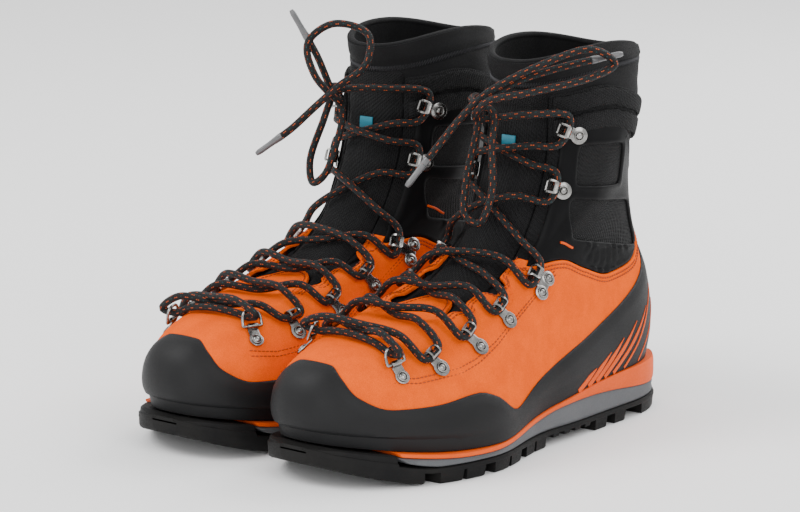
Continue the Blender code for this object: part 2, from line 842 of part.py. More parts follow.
def clip_and_ring(boot, name, entry):
    """A small clip folded round the bar of a wire D-ring, which turns about that bar."""
    frame = seat(entry, GAP + LEATHER + PLATE_LIFT)
    origin, a, c, n, reach = frame
    room = RING_WIRE + 0.4
    path = fold_path(room, reach + RING_RIVET + 0.8)
    body = placed(strip(path, METAL, RING_CLIP_WIDTH), frame)
    head = placed(shifted(dome(RING_RIVET, RIVET_HEIGHT, METAL * 0.5), (0, reach, 0)), frame)
    joined(f"{name}_clip", [body, head], boot, STEEL)
    pivot = origin + n * (METAL + room)
    lean = (n * RING_LEAN - c).normalized()
    wire = []
    half = RING_WIDTH / 2
    for k in range(9):
        turn = math.pi * k / 8
        reach_out = RING_LENGTH * (0.35 + 0.65 * math.sin(turn))
        wire.append(pivot + a * (half * math.cos(turn)) + lean * reach_out)
    wire += [pivot - a * half, pivot - a * half * 0.4, pivot + a * half * 0.4, pivot + a * half]
    write(f"{name}_ring", tube(wire, RING_WIRE, 6, closed=True), boot, STEEL, pivot=pivot,
          smooth_shade=True)
    return (pivot + lean * (RING_LENGTH - RING_WIRE - LACE_DIAMETER / 2 - 0.4), a, c, n, reach)


def hardware(boot):
    """Every lace fitting; returns the frame that the lace meets at each one."""
    frames = {}
    for kind, sides in HARDWARE.items():
        for label, entry in zip(("outer", "inner"), sides):
            name = f"{kind}_{label}"
            if kind == "clip":
                frames[kind, label] = clip_and_ring(boot, f"dring_{label}", entry)
            elif kind == "lock_hook":
                frames[kind, label] = hook(boot, name, entry, GAP + LEATHER,
                                           (LOCK_RIVET_PITCH, 0))
            elif kind.startswith("cuff"):
                frames[kind, label] = hook(boot, name, entry, GAP + OVERLAY, (0,))
            else:
                frames[kind, label] = eyelet(boot, name, entry)
    return frames


# ---- the lace ----------------------------------------------------------------------------------------
BOWS = {                 # from the last hooks: knot, loops and hanging ends, boot frame
    "left": (
        [(-22, 22, 203), (-8, 10, 203), (6, 9, 199), (10, 3, 180), (14, -2, 152), (8, -6, 134),
         (-3, -6, 138), (-6, -1, 160), (-3, 5, 188), (4, 1, 204), (22, 8, 218), (44, 30, 228),
         (56, 52, 232)],
        [(24, 22, 198), (10, 14, 196), (-2, 3, 195), (14, -6, 208), (36, 6, 214), (58, 38, 222),
         (64, 52, 229), (56, 40, 238), (34, 14, 228), (10, -2, 212), (-8, -4, 196),
         (-18, -12, 180), (-26, -22, 164)],
    ),
    "right": (
        [(-22, 22, 203), (-8, 10, 203), (6, 9, 199), (10, 1, 180), (16, -4, 156), (10, -8, 144),
         (0, -8, 150), (-4, -2, 168), (-3, 5, 188), (4, 1, 205), (6, -8, 224), (12, -16, 242)],
        [(24, 22, 198), (10, 14, 196), (-2, 3, 195), (4, -12, 212), (8, -14, 232), (-4, -4, 244),
         (-22, 8, 238), (-24, 4, 220), (-10, -6, 206), (10, -8, 190), (20, -16, 178),
         (32, -22, 168)],
    ),
}


def across(start, end, lifts):
    """Three points over the boot between two fittings, at these heights above the form."""
    direction = -(start[3] + end[3]).normalized()
    points = []
    for f, lift in zip((0.18, 0.5, 0.82), lifts):
        q = start[0].lerp(end[0], f)
        hit = TREE.ray_cast(q - direction * 60, direction)[0]
        points.append(hit - direction * lift)
    return points


def lace(boot, frames):
    """One cord from end to end, over the D-rings and back through every fitting."""
    kinds = list(HARDWARE)
    low = GAP + LEATHER + LACE_DIAMETER / 2 + 1.6

    def pass_points(kind, label):
        origin, a, c, n, _ = frames[kind, label]
        upward = a if a.z + a.y > 0 else -a
        if kind == "clip":
            through = (n + c * RING_LEAN).normalized()
            return [origin + through * step for step in RING_PASS]
        if kind.startswith("eyelet"):
            centre = origin + n * (METAL + LACE_ROOM)
            reach = EYELET_PASS
        else:
            centre = origin + n * (METAL + HOOK_ROOM / 2) + c * HOOK_CENTRE
            reach = HOOK_PASS
        return [centre - upward * reach, centre + upward * reach]

    def run(first_label):
        """From a D-ring up to the last hook, changing sides at each step."""
        points, label = [], first_label
        for k, kind in enumerate(kinds):
            here = pass_points(kind, label)
            if k:
                was = "inner" if label == "outer" else "outer"
                over = label == "outer"
                begin = (points[-1], *frames[kinds[k - 1], was][1:])
                lift = low + (LACE_DIAMETER + 0.7 if over else 0)
                side_lift = lift * 0.5 + CROSS_LIFT
                lifts = (RING_CLEAR if k == 1 else side_lift, lift, side_lift)
                points += across(begin, (here[0], *frames[kind, label][1:]), lifts)
            points += here
            label = "inner" if label == "outer" else "outer"
        return points

    up_outer, up_inner = run("outer"), run("inner")
    start = (up_outer[0], *frames["clip", "outer"][1:])
    bar = across((up_inner[0], *frames["clip", "inner"][1:]), start,
                 (low - 0.2, low + 0.5, low - 0.2))
    bows = []
    for points in BOWS[boot["name"]]:
        bows.append([Vector((x * KX, y * KY, raised(z))) for x, y, z in points])
    if up_outer[-1].x > 0:
        bows.reverse()
    path = bows[0][::-1] + up_outer[::-1] + bar[::-1] + up_inner + bows[1]
    spline_object(boot, "lace", path)


def spline_object(boot, name, path):
    side = boot["side"]
    data = bpy.data.curves.new(name, "CURVE")
    data.dimensions = "3D"
    data.bevel_depth = LACE_DIAMETER / 2 * MM
    data.bevel_resolution = 2
    data.use_fill_caps = True
    spline = data.splines.new("POLY")
    spline.points.add(len(path) - 1)
    for point, p in zip(spline.points, path):
        point.co = (side * p.x * MM, p.y * MM, p.z * MM, 1)
    obj = bpy.data.objects.new(f"{boot['name']}_{name}", data)
    bpy.context.scene.collection.objects.link(obj)
    obj.parent = boot["empty"]
    data.materials.append(material(obj.name, *CORD))
    return obj


def build_boot(name, side):
    empty = bpy.data.objects.new(f"{name}_boot", None)
    bpy.context.scene.collection.objects.link(empty)
    empty.location = (side * BOOT_SPACING / 2 * MM, 0, 0)
    boot = {"name": name, "side": side, "empty": empty}
    for make in (outsole, midsole, welt_band, lasting_board, footbed, rand, leather_upper,
                 ankle_shell, ankle_overlay, tongue, lining, stretch_cuff, pull_strap):
        make(boot)
    lace(boot, hardware(boot))


def main():
    for obj in list(bpy.data.objects):
        bpy.data.objects.remove(obj)
    build_boot("left", 1)
    build_boot("right", -1)


main()
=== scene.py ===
"""A pair of laced mountaineering boots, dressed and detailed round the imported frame.

Shapes are worked out in millimetres in one boot's own frame (x outwards to the wearer's left, y from
toe to heel, z up) and written in metres. The right boot is the mirror image of the left one.
"""

import json
import logging
import math
from dataclasses import dataclass
from enum import Enum
from typing import Callable, Sequence

import bmesh
import bpy
import numpy as np
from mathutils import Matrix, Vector
from mathutils.bvhtree import BVHTree

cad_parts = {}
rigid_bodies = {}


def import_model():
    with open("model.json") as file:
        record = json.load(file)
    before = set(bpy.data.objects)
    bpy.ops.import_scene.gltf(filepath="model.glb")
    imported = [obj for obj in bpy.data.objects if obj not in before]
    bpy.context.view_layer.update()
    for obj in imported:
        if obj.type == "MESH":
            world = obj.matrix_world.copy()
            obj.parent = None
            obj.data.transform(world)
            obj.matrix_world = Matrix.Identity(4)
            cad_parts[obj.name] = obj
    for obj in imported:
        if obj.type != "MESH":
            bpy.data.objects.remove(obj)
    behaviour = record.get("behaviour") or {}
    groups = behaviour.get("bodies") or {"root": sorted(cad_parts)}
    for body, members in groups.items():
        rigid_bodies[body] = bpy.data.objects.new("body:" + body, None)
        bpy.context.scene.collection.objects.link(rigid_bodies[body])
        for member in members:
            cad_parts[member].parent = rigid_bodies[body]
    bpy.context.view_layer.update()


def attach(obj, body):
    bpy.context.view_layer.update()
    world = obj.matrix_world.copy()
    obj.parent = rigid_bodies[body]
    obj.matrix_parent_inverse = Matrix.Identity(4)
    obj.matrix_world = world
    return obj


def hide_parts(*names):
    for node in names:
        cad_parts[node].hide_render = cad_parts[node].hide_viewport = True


LOG = logging.getLogger("boots")
MM = 0.001
Array = np.ndarray
Field = Callable[["Sheet"], Array]


class Side(Enum):
    """The wearer's foot that a boot is for, as the sign of its x."""

    LEFT = 1
    RIGHT = -1

    @property
    def word(self) -> str:
        """The side's name at the start of a piece's name."""
        return self.name.lower()

    @property
    def body(self) -> str:
        """The frame's body that this boot's pieces ride on."""
        return f"{self.word}_boot"


class Flank(Enum):
    """The outer or the inner side of one boot, as the sign of x in the boot's frame."""

    OUTER = 1
    INNER = -1

    @property
    def word(self) -> str:
        """The flank's name inside a piece's name."""
        return self.name.lower()

    @property
    def other(self) -> "Flank":
        """The flank across the boot."""
        return Flank.INNER if self is Flank.OUTER else Flank.OUTER


# ---- small sums ------------------------------------------------------------------------------------
def smooth(value: Array | float) -> Array | float:
    """Ease a value from 0 to 1 over the unit range."""
    value = np.clip(value, 0.0, 1.0)
    return value * value * (3 - 2 * value)


def rounded(value: Array, power: float) -> Array:
    """Rise from 0 to 1 as a superellipse does."""
    return (1 - (1 - np.clip(value, 0, 1)) ** power) ** (1 / power)


def along(values: Sequence[float], v: Array) -> Array:
    """Read station values at v by a Catmull-Rom curve."""
    points = np.asarray(values, float)
    points = np.concatenate([[2 * points[0] - points[1]], points, [2 * points[-1] - points[-2]]])
    v = np.clip(v, 0, len(values) - 1)
    i = np.minimum(v.astype(int), len(values) - 2)
    t = v - i
    a, b, c, d = (points[i + k] for k in range(4))
    return 0.5 * (2 * b + (c - a) * t + (2 * a - 5 * b + 4 * c - d) * t * t
                  + (3 * b - 3 * c + d - a) * t ** 3)


def eased_line(points: Sequence[tuple[float, float]], x: Array) -> Array:
    """Read a line of (x, y) points by a cubic that doesn't overshoot them."""
    px, py = (np.array(column, float) for column in zip(*points))
    step, slope = np.diff(px), np.diff(py) / np.diff(px)
    lean = np.zeros(len(px))
    same = slope[:-1] * slope[1:] > 0
    lean[1:-1][same] = 2 * slope[:-1][same] * slope[1:][same] / (slope[:-1] + slope[1:])[same]
    x = np.clip(x, px[0], px[-1])
    i = np.clip(np.searchsorted(px, x) - 1, 0, len(px) - 2)
    t = (x - px[i]) / step[i]
    return (py[i] * (1 + 2 * t) * (1 - t) ** 2 + py[i + 1] * t * t * (3 - 2 * t)
            + step[i] * (lean[i] * t * (1 - t) ** 2 - lean[i + 1] * t * t * (1 - t)))


def unit(vectors: Array) -> Array:
    """Scale rows to length one."""
    return vectors / np.maximum(np.linalg.norm(vectors, axis=-1, keepdims=True), 1e-9)


# ---- the form --------------------------------------------------------------------------------------
@dataclass(frozen=True)
class BootForm:
    """The smooth form that the upper is lasted over: an angle (0 in front) and a station v up it."""

    length: float = 312.0
    spacing: float = 115.2
    sole_wave: float = 5.0
    ball_flare: float = 7.5
    toe_swing: float = 6.0
    sole_edge: float = 26.0
    front: tuple = ((-147, 26), (-151, 45), (-145, 61), (-126, 72), (-98, 78), (-66, 82), (-34, 90),
                    (-5, 106), (17, 132), (31, 163), (34, 192), (34, 210), (30, 226))
    back: tuple = ((144, 34), (149, 54), (149, 76), (143, 102), (137, 128), (134, 150), (133, 169),
                   (134, 185), (135, 198), (136, 208), (136, 216), (138, 221), (139, 226))
    sag: tuple = (8, 8, 8, 6, 4, 3, 3, 2, 1, 0, -1, -5, -10)
    ball: tuple = (53, 54, 50, 42, 36, 33, 32, 33, 36, 39, 40, 39, 37)
    waist: tuple = (43, 45, 43, 40, 37, 35, 36, 37, 39, 41, 41, 40, 37)
    heel: tuple = (37, 38, 37, 35, 33, 33, 35, 37, 39, 40, 40, 39, 36)

    def half_width(self, s: Array, v: Array, outer: Array) -> Array:
        """Half the form's width at the fraction s from front to back.

        Args:
            s: fraction of the way from the front rail to the back rail.
            v: station.
            outer: whether the point is on the wearer's outer side.

        Returns:
            The half width in millimetres.
        """
        low = smooth(1 - v / 4)
        flare = self.ball_flare * (1 - smooth(v / 2)) * smooth(s / 0.25) * (1 - smooth((s - 0.33) / 0.25))
        ball = along(self.ball, v) + np.where(outer, flare, -5.5 * low)
        waist = along(self.waist, v) - np.where(outer, 0, 6.0) * low
        heel = along(self.heel, v)
        width = ball + (waist - ball) * smooth((s - 0.30) / 0.28)
        return width + (heel - waist) * smooth((s - 0.58) / 0.27)

    def point(self, angle: Array, v: Array) -> Array:
        """The form's points at these angles (degrees) and stations."""
        angle, v = np.broadcast_arrays(np.asarray(angle, float), np.asarray(v, float))
        phi = np.radians(angle)
        s = (1 - np.cos(phi)) / 2
        toe, heel = 0.36 + 0.12 * smooth(v / 5), 0.20 + 0.27 * smooth(v / 9)
        cap = rounded(s / toe, 2.3) * rounded((1 - s) / heel, 2.2)
        swing = -self.toe_swing * smooth(1 - v / 8) * (1 - smooth(s / 0.45))
        x = swing + np.sign(np.sin(phi)) * self.half_width(s, v, np.sin(phi) >= 0) * cap
        y0, z0 = (along([p[k] for p in self.front], v) for k in (0, 1))
        y1, z1 = (along([p[k] for p in self.back], v) for k in (0, 1))
        z = z0 + (z1 - z0) * s - along(self.sag, v) * 4 * s * (1 - s)
        z = z - self.sole_wave * np.sin(2 * np.pi * s) * (1 - smooth(v / 2))
        return np.stack([x, y0 + (y1 - y0) * s, z], axis=-1)

    def normal(self, angle: Array, v: Array) -> Array:
        """Outward unit normals there."""
        side = self.point(angle + 0.8, v) - self.point(angle - 0.8, v)
        rise = self.point(angle, np.minimum(v + 0.05, 12)) - self.point(angle, np.maximum(v - 0.05, 0))
        return unit(np.cross(side, rise))

    def edge_height(self, y: Array | float) -> Array | float:
        """Height of the sole's top edge at y."""
        s = np.clip((y - self.front[0][0]) / (self.back[0][0] - self.front[0][0]), 0, 1)
        low, high = self.front[0][1], self.back[0][1]
        return low + (high - low) * s - self.sag[0] * 4 * s * (1 - s) - self.sole_wave * np.sin(2 * np.pi * s)


FORM = BootForm()


class Sheet:
    """The form's grid of points with the fields that cut it, in rows that polygons refer to."""

    AROUND, UP = 180, 132

    def __init__(self, form: BootForm) -> None:
        """Lay out the grid."""
        angle, v = np.meshgrid(np.linspace(-180, 180, self.AROUND + 1), np.linspace(0, 12, self.UP + 1),
                               indexing="ij")
        self.angle, self.v = angle, v
        self.point = form.point(angle, v)
        self.normal = form.normal(angle, v)
        self.turn = np.abs(angle)

    @property
    def x(self) -> Array:
        """x of every grid point."""
        return self.point[..., 0]

    @property
    def y(self) -> Array:
        """y of every grid point."""
        return self.point[..., 1]

    @property
    def z(self) -> Array:
        """z of every grid point."""
        return self.point[..., 2]

    def quads(self) -> list:
        """The grid's squares, as lists of point numbers."""
        tall = self.UP + 1
        return [[i * tall + j, (i + 1) * tall + j, (i + 1) * tall + j + 1, i * tall + j + 1]
                for i in range(self.AROUND) for j in range(self.UP)]

    def in_mm(self, raw: Array) -> Array:
        """A raw field divided by its own slope, so that it reads as a distance in millimetres."""
        pa, pv = np.gradient(self.point, axis=0), np.gradient(self.point, axis=1)
        fa, fv = np.gradient(raw, axis=0), np.gradient(raw, axis=1)
        e, f, g = (pa * pa).sum(-1), (pa * pv).sum(-1), (pv * pv).sum(-1)
        slope = np.sqrt(np.maximum((fa * fa * g - 2 * fa * fv * f + fv * fv * e)
                                   / np.maximum(e * g - f * f, 1e-6), 1e-12))
        floor = 0.35 * np.median(slope[np.abs(raw) < np.abs(raw).max() * 0.3])
        return np.clip(raw / np.maximum(slope, floor), -80, 80)


GRID = Sheet(FORM)


def open_edges(rings: Sequence) -> list:
    """The edges (a, b) that only one of these polygons has."""
    rim: dict = {}
    for ring in rings:
        for a, b in zip(ring, ring[1:] + ring[:1]):
            if (b, a) in rim:
                del rim[b, a]
            else:
                rim[a, b] = True
    return list(rim)


def joined(parts: Sequence) -> tuple[Array, list]:
    """Several (points, faces) as one."""
    faces, start = [], 0
    for points, rings in parts:
        faces += [[n + start for n in ring] for ring in rings]
        start += len(points)
    return np.concatenate([points for points, _ in parts]), faces


def split(polygons: list, values: list, table: list, keep_low: bool) -> list:
    """Cut polygons along the zero line of a value that each of their rows has.

    Args:
        polygons: lists of row numbers.
        values: the value of every row, which grows with the table.
        table: rows of numbers that are interpolated at a new corner.
        keep_low: whether the negative parts stay.

    Returns:
        The cut polygons.
    """
    met: dict = {}
    kept = []
    for ring in polygons:
        here = [values[i] for i in ring]
        if min(here) >= 0:
            kept.append(ring)
            continue
        if max(here) <= 0:
            if keep_low:
                kept.append(ring)
            continue
        high, low = [], []
        for k, i in enumerate(ring):
            j = ring[k - len(ring) + 1]
            fi, fj = values[i], values[j]
            if fi >= 0:
                high.append(i)
            if fi <= 0:
                low.append(i)
            if fi * fj < 0:
                key = (min(i, j), max(i, j))
                if key not in met:
                    t = fi / (fi - fj)
                    met[key] = len(table)
                    table.append(table[i] + (table[j] - table[i]) * t)
                    values.append(0.0)
                high.append(met[key])
                low.append(met[key])
        if len(high) > 2:
            kept.append(high)
        if keep_low and len(low) > 2:
            kept.append(low)
    return kept


@dataclass(frozen=True)
class Shell:
    """A closed piece of the upper between two heights over the form.

    Attributes:
        fences: fields that are positive where the piece is.
        level: heights of its inner and outer face over the form.
        roll: radius by which its outer edge rolls down.
        relief: extra height of the outer face, from the rows' angle, v, edge distance and points.
        marks: distances from the edge at which the mesh gets a line of its own.
    """

    fences: tuple
    level: tuple
    roll: float = 0.8
    relief: Callable | None = None
    marks: tuple = ()

    def build(self) -> tuple[Array, list, Array, Array]:
        """Points, faces, edge distances and cloth coordinates of the piece, for the left boot."""
        fields = [np.where(np.abs(f) < 0.05, 0.0, f) for f in (fence(GRID) for fence in self.fences)]
        reach = np.minimum.reduce(fields)
        table = list(np.stack([GRID.angle, GRID.v, reach, *fields], -1).reshape(-1, 3 + len(fields)))
        quads = GRID.quads()
        for k in range(len(fields)):
            quads = split(quads, [row[3 + k] for row in table], table, False)
        for row in table:
            row[2] = min(row[3:])
        for mark in (0.25 * self.roll, self.roll) + self.marks:
            quads = split(quads, [row[2] - mark if abs(row[2] - mark) > 0.04 else 0.0 for row in table],
                          table, True)
        return self.close(np.array(table), quads)

    def close(self, table: Array, quads: list) -> tuple[Array, list, Array, Array]:
        """Give the cut sheet its two faces and the wall round them.

        Args:
            table: rows of angle, v, edge distance and the fields.
            quads: polygons of row numbers.

        Returns:
            Points, faces, edge distances and cloth coordinates.
        """
        used = sorted({i for ring in quads for i in ring})
        keys: dict = {}
        rows, number = [], {}
        for i in used:
            key = (round((table[i, 0] + 540) % 360, 3), round(table[i, 1], 3))
            if key not in keys:
                keys[key] = len(rows)
                rows.append(i)
            number[i] = keys[key]
        angle, v, reach = table[rows, 0], table[rows, 1], np.maximum(table[rows, 2], 0)
        base, normal = FORM.point(angle, v), FORM.normal(angle, v)
        low, high = self.level
        drop = self.roll * (1 - np.sqrt(1 - (1 - np.clip(reach / self.roll, 0, 1)) ** 2))
        top = high - drop
        if self.relief:
            top = top + self.relief(angle, v, reach, base)
        count = len(rows)
        points = np.concatenate([base + normal * top[:, None], base + normal * low])
        loops = [list(dict.fromkeys(number[i] for i in ring)) for ring in quads]
        loops = [loop for loop in loops if len(loop) > 2]
        faces = [face for loop in loops for face in (loop, [n + count for n in reversed(loop)])]
        faces += [[b, a, a + count, b + count] for a, b in open_edges(loops)]
        cloth = np.stack([angle * 0.95, v * 17.0], -1) * MM
        return points, faces, np.concatenate([reach, reach]), np.concatenate([cloth, cloth])


# ---- pieces ------------------------------------------------------------------------------------------
def outward(data: bpy.types.Mesh) -> None:
    """Merge doubles and point every face outwards."""
    work = bmesh.new()
    work.from_mesh(data)
    bmesh.ops.remove_doubles(work, verts=work.verts, dist=1e-7)
    bmesh.ops.recalc_face_normals(work, faces=work.faces)
    work.to_mesh(data)
    work.free()


def placed(points: Array, side: Side) -> Array:
    """Points of one boot's frame in the whole model's frame, in metres."""
    points = np.asarray(points, float) + (FORM.spacing / 2, 0, 0)
    return points * (side.value * MM, MM, MM)


def piece(name: str, side: Side, points: Array, faces: Sequence, finish: "Finish", slot: str,
          nodes: Sequence[str] = (), edge: Array | None = None, cloth: Array | None = None,
          body: str | None = None, sharp: float = 42.0) -> bpy.types.Object:
    """Write one piece of a boot, dress it and hang it on its body.

    Args:
        name: the piece's name without its side.
        side: which boot it is on.
        points: its points in the boot's frame.
        faces: lists of point numbers, seen from outside anticlockwise on the left boot.
        finish: what it is made of.
        slot: the record's slot for that finish; not used.
        nodes: CAD nodes it stands for, without their side.
        edge: distance of each point from the piece's edge.
        cloth: each point's place on the flat cloth, in metres.
        body: the body it rides on, the boot's own by default.
        sharp: angle past which an edge stays sharp, in degrees.

    Returns:
        The piece's object.
    """
    if side is Side.RIGHT:
        faces = [list(reversed(ring)) for ring in faces]
    data = bpy.data.meshes.new(f"{side.word}_{name}")
    data.from_pydata(placed(points, side).tolist(), [], [list(map(int, ring)) for ring in faces])
    if edge is not None:
        data.attributes.new("edge_mm", "FLOAT", "POINT").data.foreach_set("value", edge.astype(np.float32))
    if cloth is not None:
        layer = data.uv_layers.new(name="cloth")
        corners = np.empty(len(data.loops), np.int32)
        data.loops.foreach_get("vertex_index", corners)
        layer.data.foreach_set("uv", cloth[corners].astype(np.float32).ravel())
    data.shade_smooth()
    data.set_sharp_from_angle(angle=math.radians(sharp))
    obj = bpy.data.objects.new(data.name, data)
    bpy.context.scene.collection.objects.link(obj)
    return dressed(obj, side, finish, nodes, body)


def dressed(obj: bpy.types.Object, side: Side, finish: "Finish", nodes: Sequence[str] = (),
            body: str | None = None) -> bpy.types.Object:
    """Give a made object its finish, the nodes it stands for and its body."""
    obj.data.materials.clear()
    obj.data.materials.append(finish.material())
    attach(obj, body or side.body)
    if nodes:
        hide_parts(*[f"{side.word}_{node}" for node in nodes])
    LOG.info("%s: %d faces", obj.name, len(obj.data.polygons))
    return obj


def plain(obj: bpy.types.Object) -> bpy.types.Object:
    """Turn an object and its live modifiers into a plain mesh at the origin."""
    bpy.context.view_layer.update()
    graph = bpy.context.evaluated_depsgraph_get()
    data = bpy.data.meshes.new_from_object(obj.evaluated_get(graph), depsgraph=graph)
    data.name = obj.name
    obj.modifiers.clear()
    obj.data = data
    return obj


def tube(path: Array, radius: float | Array, sides: int, closed: bool = False) -> tuple:
    """A round bar along a path, with its section carried along without a twist.

    Args:
        path: points of the centre line.
        radius: one radius, or one for each point.
        sides: corners of the section.
        closed: whether the path joins up.

    Returns:
        Points, faces and (distance along, share round) for each point.
    """
    path = np.asarray(path, float)
    count = len(path)
    radius = np.broadcast_to(radius, count)
    ahead = np.roll(path, -1, 0) - np.roll(path, 1, 0)
    if not closed:
        ahead[0], ahead[-1] = path[1] - path[0], path[-1] - path[-2]
    ahead = unit(ahead)
    side = np.cross(ahead[0], (0.3, 0.2, 0.9))
    points, cloth = [], []
    run = np.concatenate([[0], np.cumsum(np.linalg.norm(np.diff(path, axis=0), axis=1))])
    turn = np.linspace(0, 2 * np.pi, sides, endpoint=False)
    for k in range(count):
        side = side - ahead[k] * side.dot(ahead[k])
        side = side / np.linalg.norm(side)
        other = np.cross(ahead[k], side)
        points.append(path[k] + radius[k] * (np.cos(turn)[:, None] * side + np.sin(turn)[:, None] * other))
        cloth.append(np.stack([np.full(sides, run[k]), turn / (2 * np.pi)], -1))
    faces = []
    for k in range(count if closed else count - 1):
        a, b = k * sides, (k + 1) % count * sides
        for m in range(sides):
            n = (m + 1) % sides
            faces.append([a + m, a + n, b + n, b + m])
    if not closed:
        faces.append(list(range(sides))[::-1])
        faces.append([(count - 1) * sides + m for m in range(sides)])
    return np.concatenate(points), faces, np.concatenate(cloth)


def curved(points: Array, step: float, closed: bool = False) -> Array:
    """A smooth line through the points, at even steps."""
    points = np.asarray(points, float)
    if closed:
        points = np.concatenate([points[-1:], points, points[:2]])
    else:
        points = np.concatenate([[2 * points[0] - points[1]], points, [2 * points[-1] - points[-2]]])
    gap = np.maximum(np.linalg.norm(np.diff(points, axis=0), axis=1), 1e-6) ** 0.5
    knots = np.concatenate([[0], np.cumsum(gap)])
    line = []
    for k in range(1, len(points) - 2):
        t0, t1, t2, t3 = knots[k - 1:k + 3]
        t = np.linspace(t1, t2, 12, endpoint=False)[:, None]
        p0, p1, p2, p3 = points[k - 1:k + 3]
        a1 = (t1 - t) / (t1 - t0) * p0 + (t - t0) / (t1 - t0) * p1
        a2 = (t2 - t) / (t2 - t1) * p1 + (t - t1) / (t2 - t1) * p2
        a3 = (t3 - t) / (t3 - t2) * p2 + (t - t2) / (t3 - t2) * p3
        b1 = (t2 - t) / (t2 - t0) * a1 + (t - t0) / (t2 - t0) * a2
        b2 = (t3 - t) / (t3 - t1) * a2 + (t - t1) / (t3 - t1) * a3
        line.append((t2 - t) / (t2 - t1) * b1 + (t - t1) / (t2 - t1) * b2)
    line.append(points[-2][None])
    line = np.concatenate(line)
    return spaced(line, step, closed)


def spaced(line: Array, step: float, closed: bool = False) -> Array:
    """The same line with points at even steps."""
    run = np.concatenate([[0], np.cumsum(np.linalg.norm(np.diff(line, axis=0), axis=1))])
    count = max(int(round(run[-1] / step)), 3)
    at = np.linspace(0, run[-1], count + 1)[: count if closed else count + 1]
    return np.stack([np.interp(at, run, line[:, k]) for k in range(line.shape[1])], -1)


# ---- shared shader groups --------------------------------------------------------------------------
class Graph:
    """A node tree with short calls for making and joining nodes."""

    def __init__(self, tree: bpy.types.NodeTree) -> None:
        """Work on this tree."""
        self.tree = tree

    def node(self, kind: str, inputs: dict | None = None, **settings) -> bpy.types.Node:
        """Add a node.

        Args:
            kind: its type.
            inputs: values or output sockets for its inputs, by name or number.
            settings: its properties.

        Returns:
            The node.
        """
        made = self.tree.nodes.new(kind)
        for key, value in settings.items():
            setattr(made, key, value)
        for key, value in (inputs or {}).items():
            socket = made.inputs[key]
            if isinstance(value, bpy.types.NodeSocket):
                self.tree.links.new(value, socket)
            else:
                socket.default_value = value
        return made

    def math(self, operation: str, *values: float | bpy.types.NodeSocket) -> bpy.types.NodeSocket:
        """The result of a Math node."""
        return self.node("ShaderNodeMath", dict(enumerate(values)), operation=operation).outputs[0]

    def ramp(self, value: bpy.types.NodeSocket, low: float, high: float, a: float = 0.0,
             b: float = 1.0) -> bpy.types.NodeSocket:
        """The value carried smoothly from low..high to a..b."""
        made = self.node("ShaderNodeMapRange", {0: value, 1: low, 2: high, 3: a, 4: b},
                         interpolation_type="SMOOTHSTEP")
        return made.outputs[0]

    def blend(self, factor: bpy.types.NodeSocket, a: tuple | bpy.types.NodeSocket,
              b: tuple | bpy.types.NodeSocket) -> bpy.types.NodeSocket:
        """A mix of two colours."""
        made = self.node("ShaderNodeMix", data_type="RGBA")
        self.tree.links.new(factor, made.inputs[0])
        for socket, value in ((made.inputs[6], a), (made.inputs[7], b)):
            if isinstance(value, bpy.types.NodeSocket):
                self.tree.links.new(value, socket)
            else:
                socket.default_value = (*value, 1)
        return made.outputs[2]


def started(name: str) -> tuple[bpy.types.Material, Graph, bpy.types.Node]:
    """A new material with its graph and its shader node."""
    made = bpy.data.materials.new(name)
    made.use_nodes = True
    return made, Graph(made.node_tree), made.node_tree.nodes["Principled BSDF"]


def shader_group(name: str, inputs: dict, outputs: dict) -> tuple[Graph, bpy.types.Node, bpy.types.Node]:
    """Start a shader node group with named sockets.

    Args:
        name: the group's name.
        inputs: default value of each input, or None for a vector.
        outputs: socket type of each output.

    Returns:
        The graph, its input node and its output node.
    """
    tree = bpy.data.node_groups.new(name, "ShaderNodeTree")
    for key, value in inputs.items():
        kind = "NodeSocketVector" if value is None else "NodeSocketFloat"
        socket = tree.interface.new_socket(key, in_out="INPUT", socket_type=kind)
        if value is not None:
            socket.default_value = value
    for key, kind in outputs.items():
        tree.interface.new_socket(key, in_out="OUTPUT", socket_type=kind)
    graph = Graph(tree)
    return graph, graph.node("NodeGroupInput"), graph.node("NodeGroupOutput")


def grain_group() -> bpy.types.NodeTree:
    """Surface grain: broad tone, fine tone and height, from a place on the piece."""
    if "surface_grain" in bpy.data.node_groups:
        return bpy.data.node_groups["surface_grain"]
    graph, start, end = shader_group("surface_grain", {"Place": None, "Broad": 40.0, "Fine": 900.0},
                                     {"Tone": "NodeSocketFloat", "Speck": "NodeSocketFloat",
                                      "Height": "NodeSocketFloat"})
    broad = graph.node("ShaderNodeTexNoise", {"Vector": start.outputs[0], "Scale": start.outputs[1],
                                              "Detail": 5.0, "Roughness": 0.6})
    fine = graph.node("ShaderNodeTexNoise", {"Vector": start.outputs[0], "Scale": start.outputs[2],
                                             "Detail": 3.0, "Roughness": 0.65})
    cells = graph.node("ShaderNodeTexVoronoi", {"Vector": start.outputs[0], "Scale": start.outputs[2]})
    links = graph.tree.links
    links.new(graph.ramp(broad.outputs[0], 0.32, 0.68), end.inputs["Tone"])
    links.new(graph.ramp(fine.outputs[0], 0.35, 0.65), end.inputs["Speck"])
    links.new(graph.math("MULTIPLY_ADD", fine.outputs[0], 0.7, graph.math("MULTIPLY", cells.outputs[0], 0.3)),
              end.inputs["Height"])
    return graph.tree


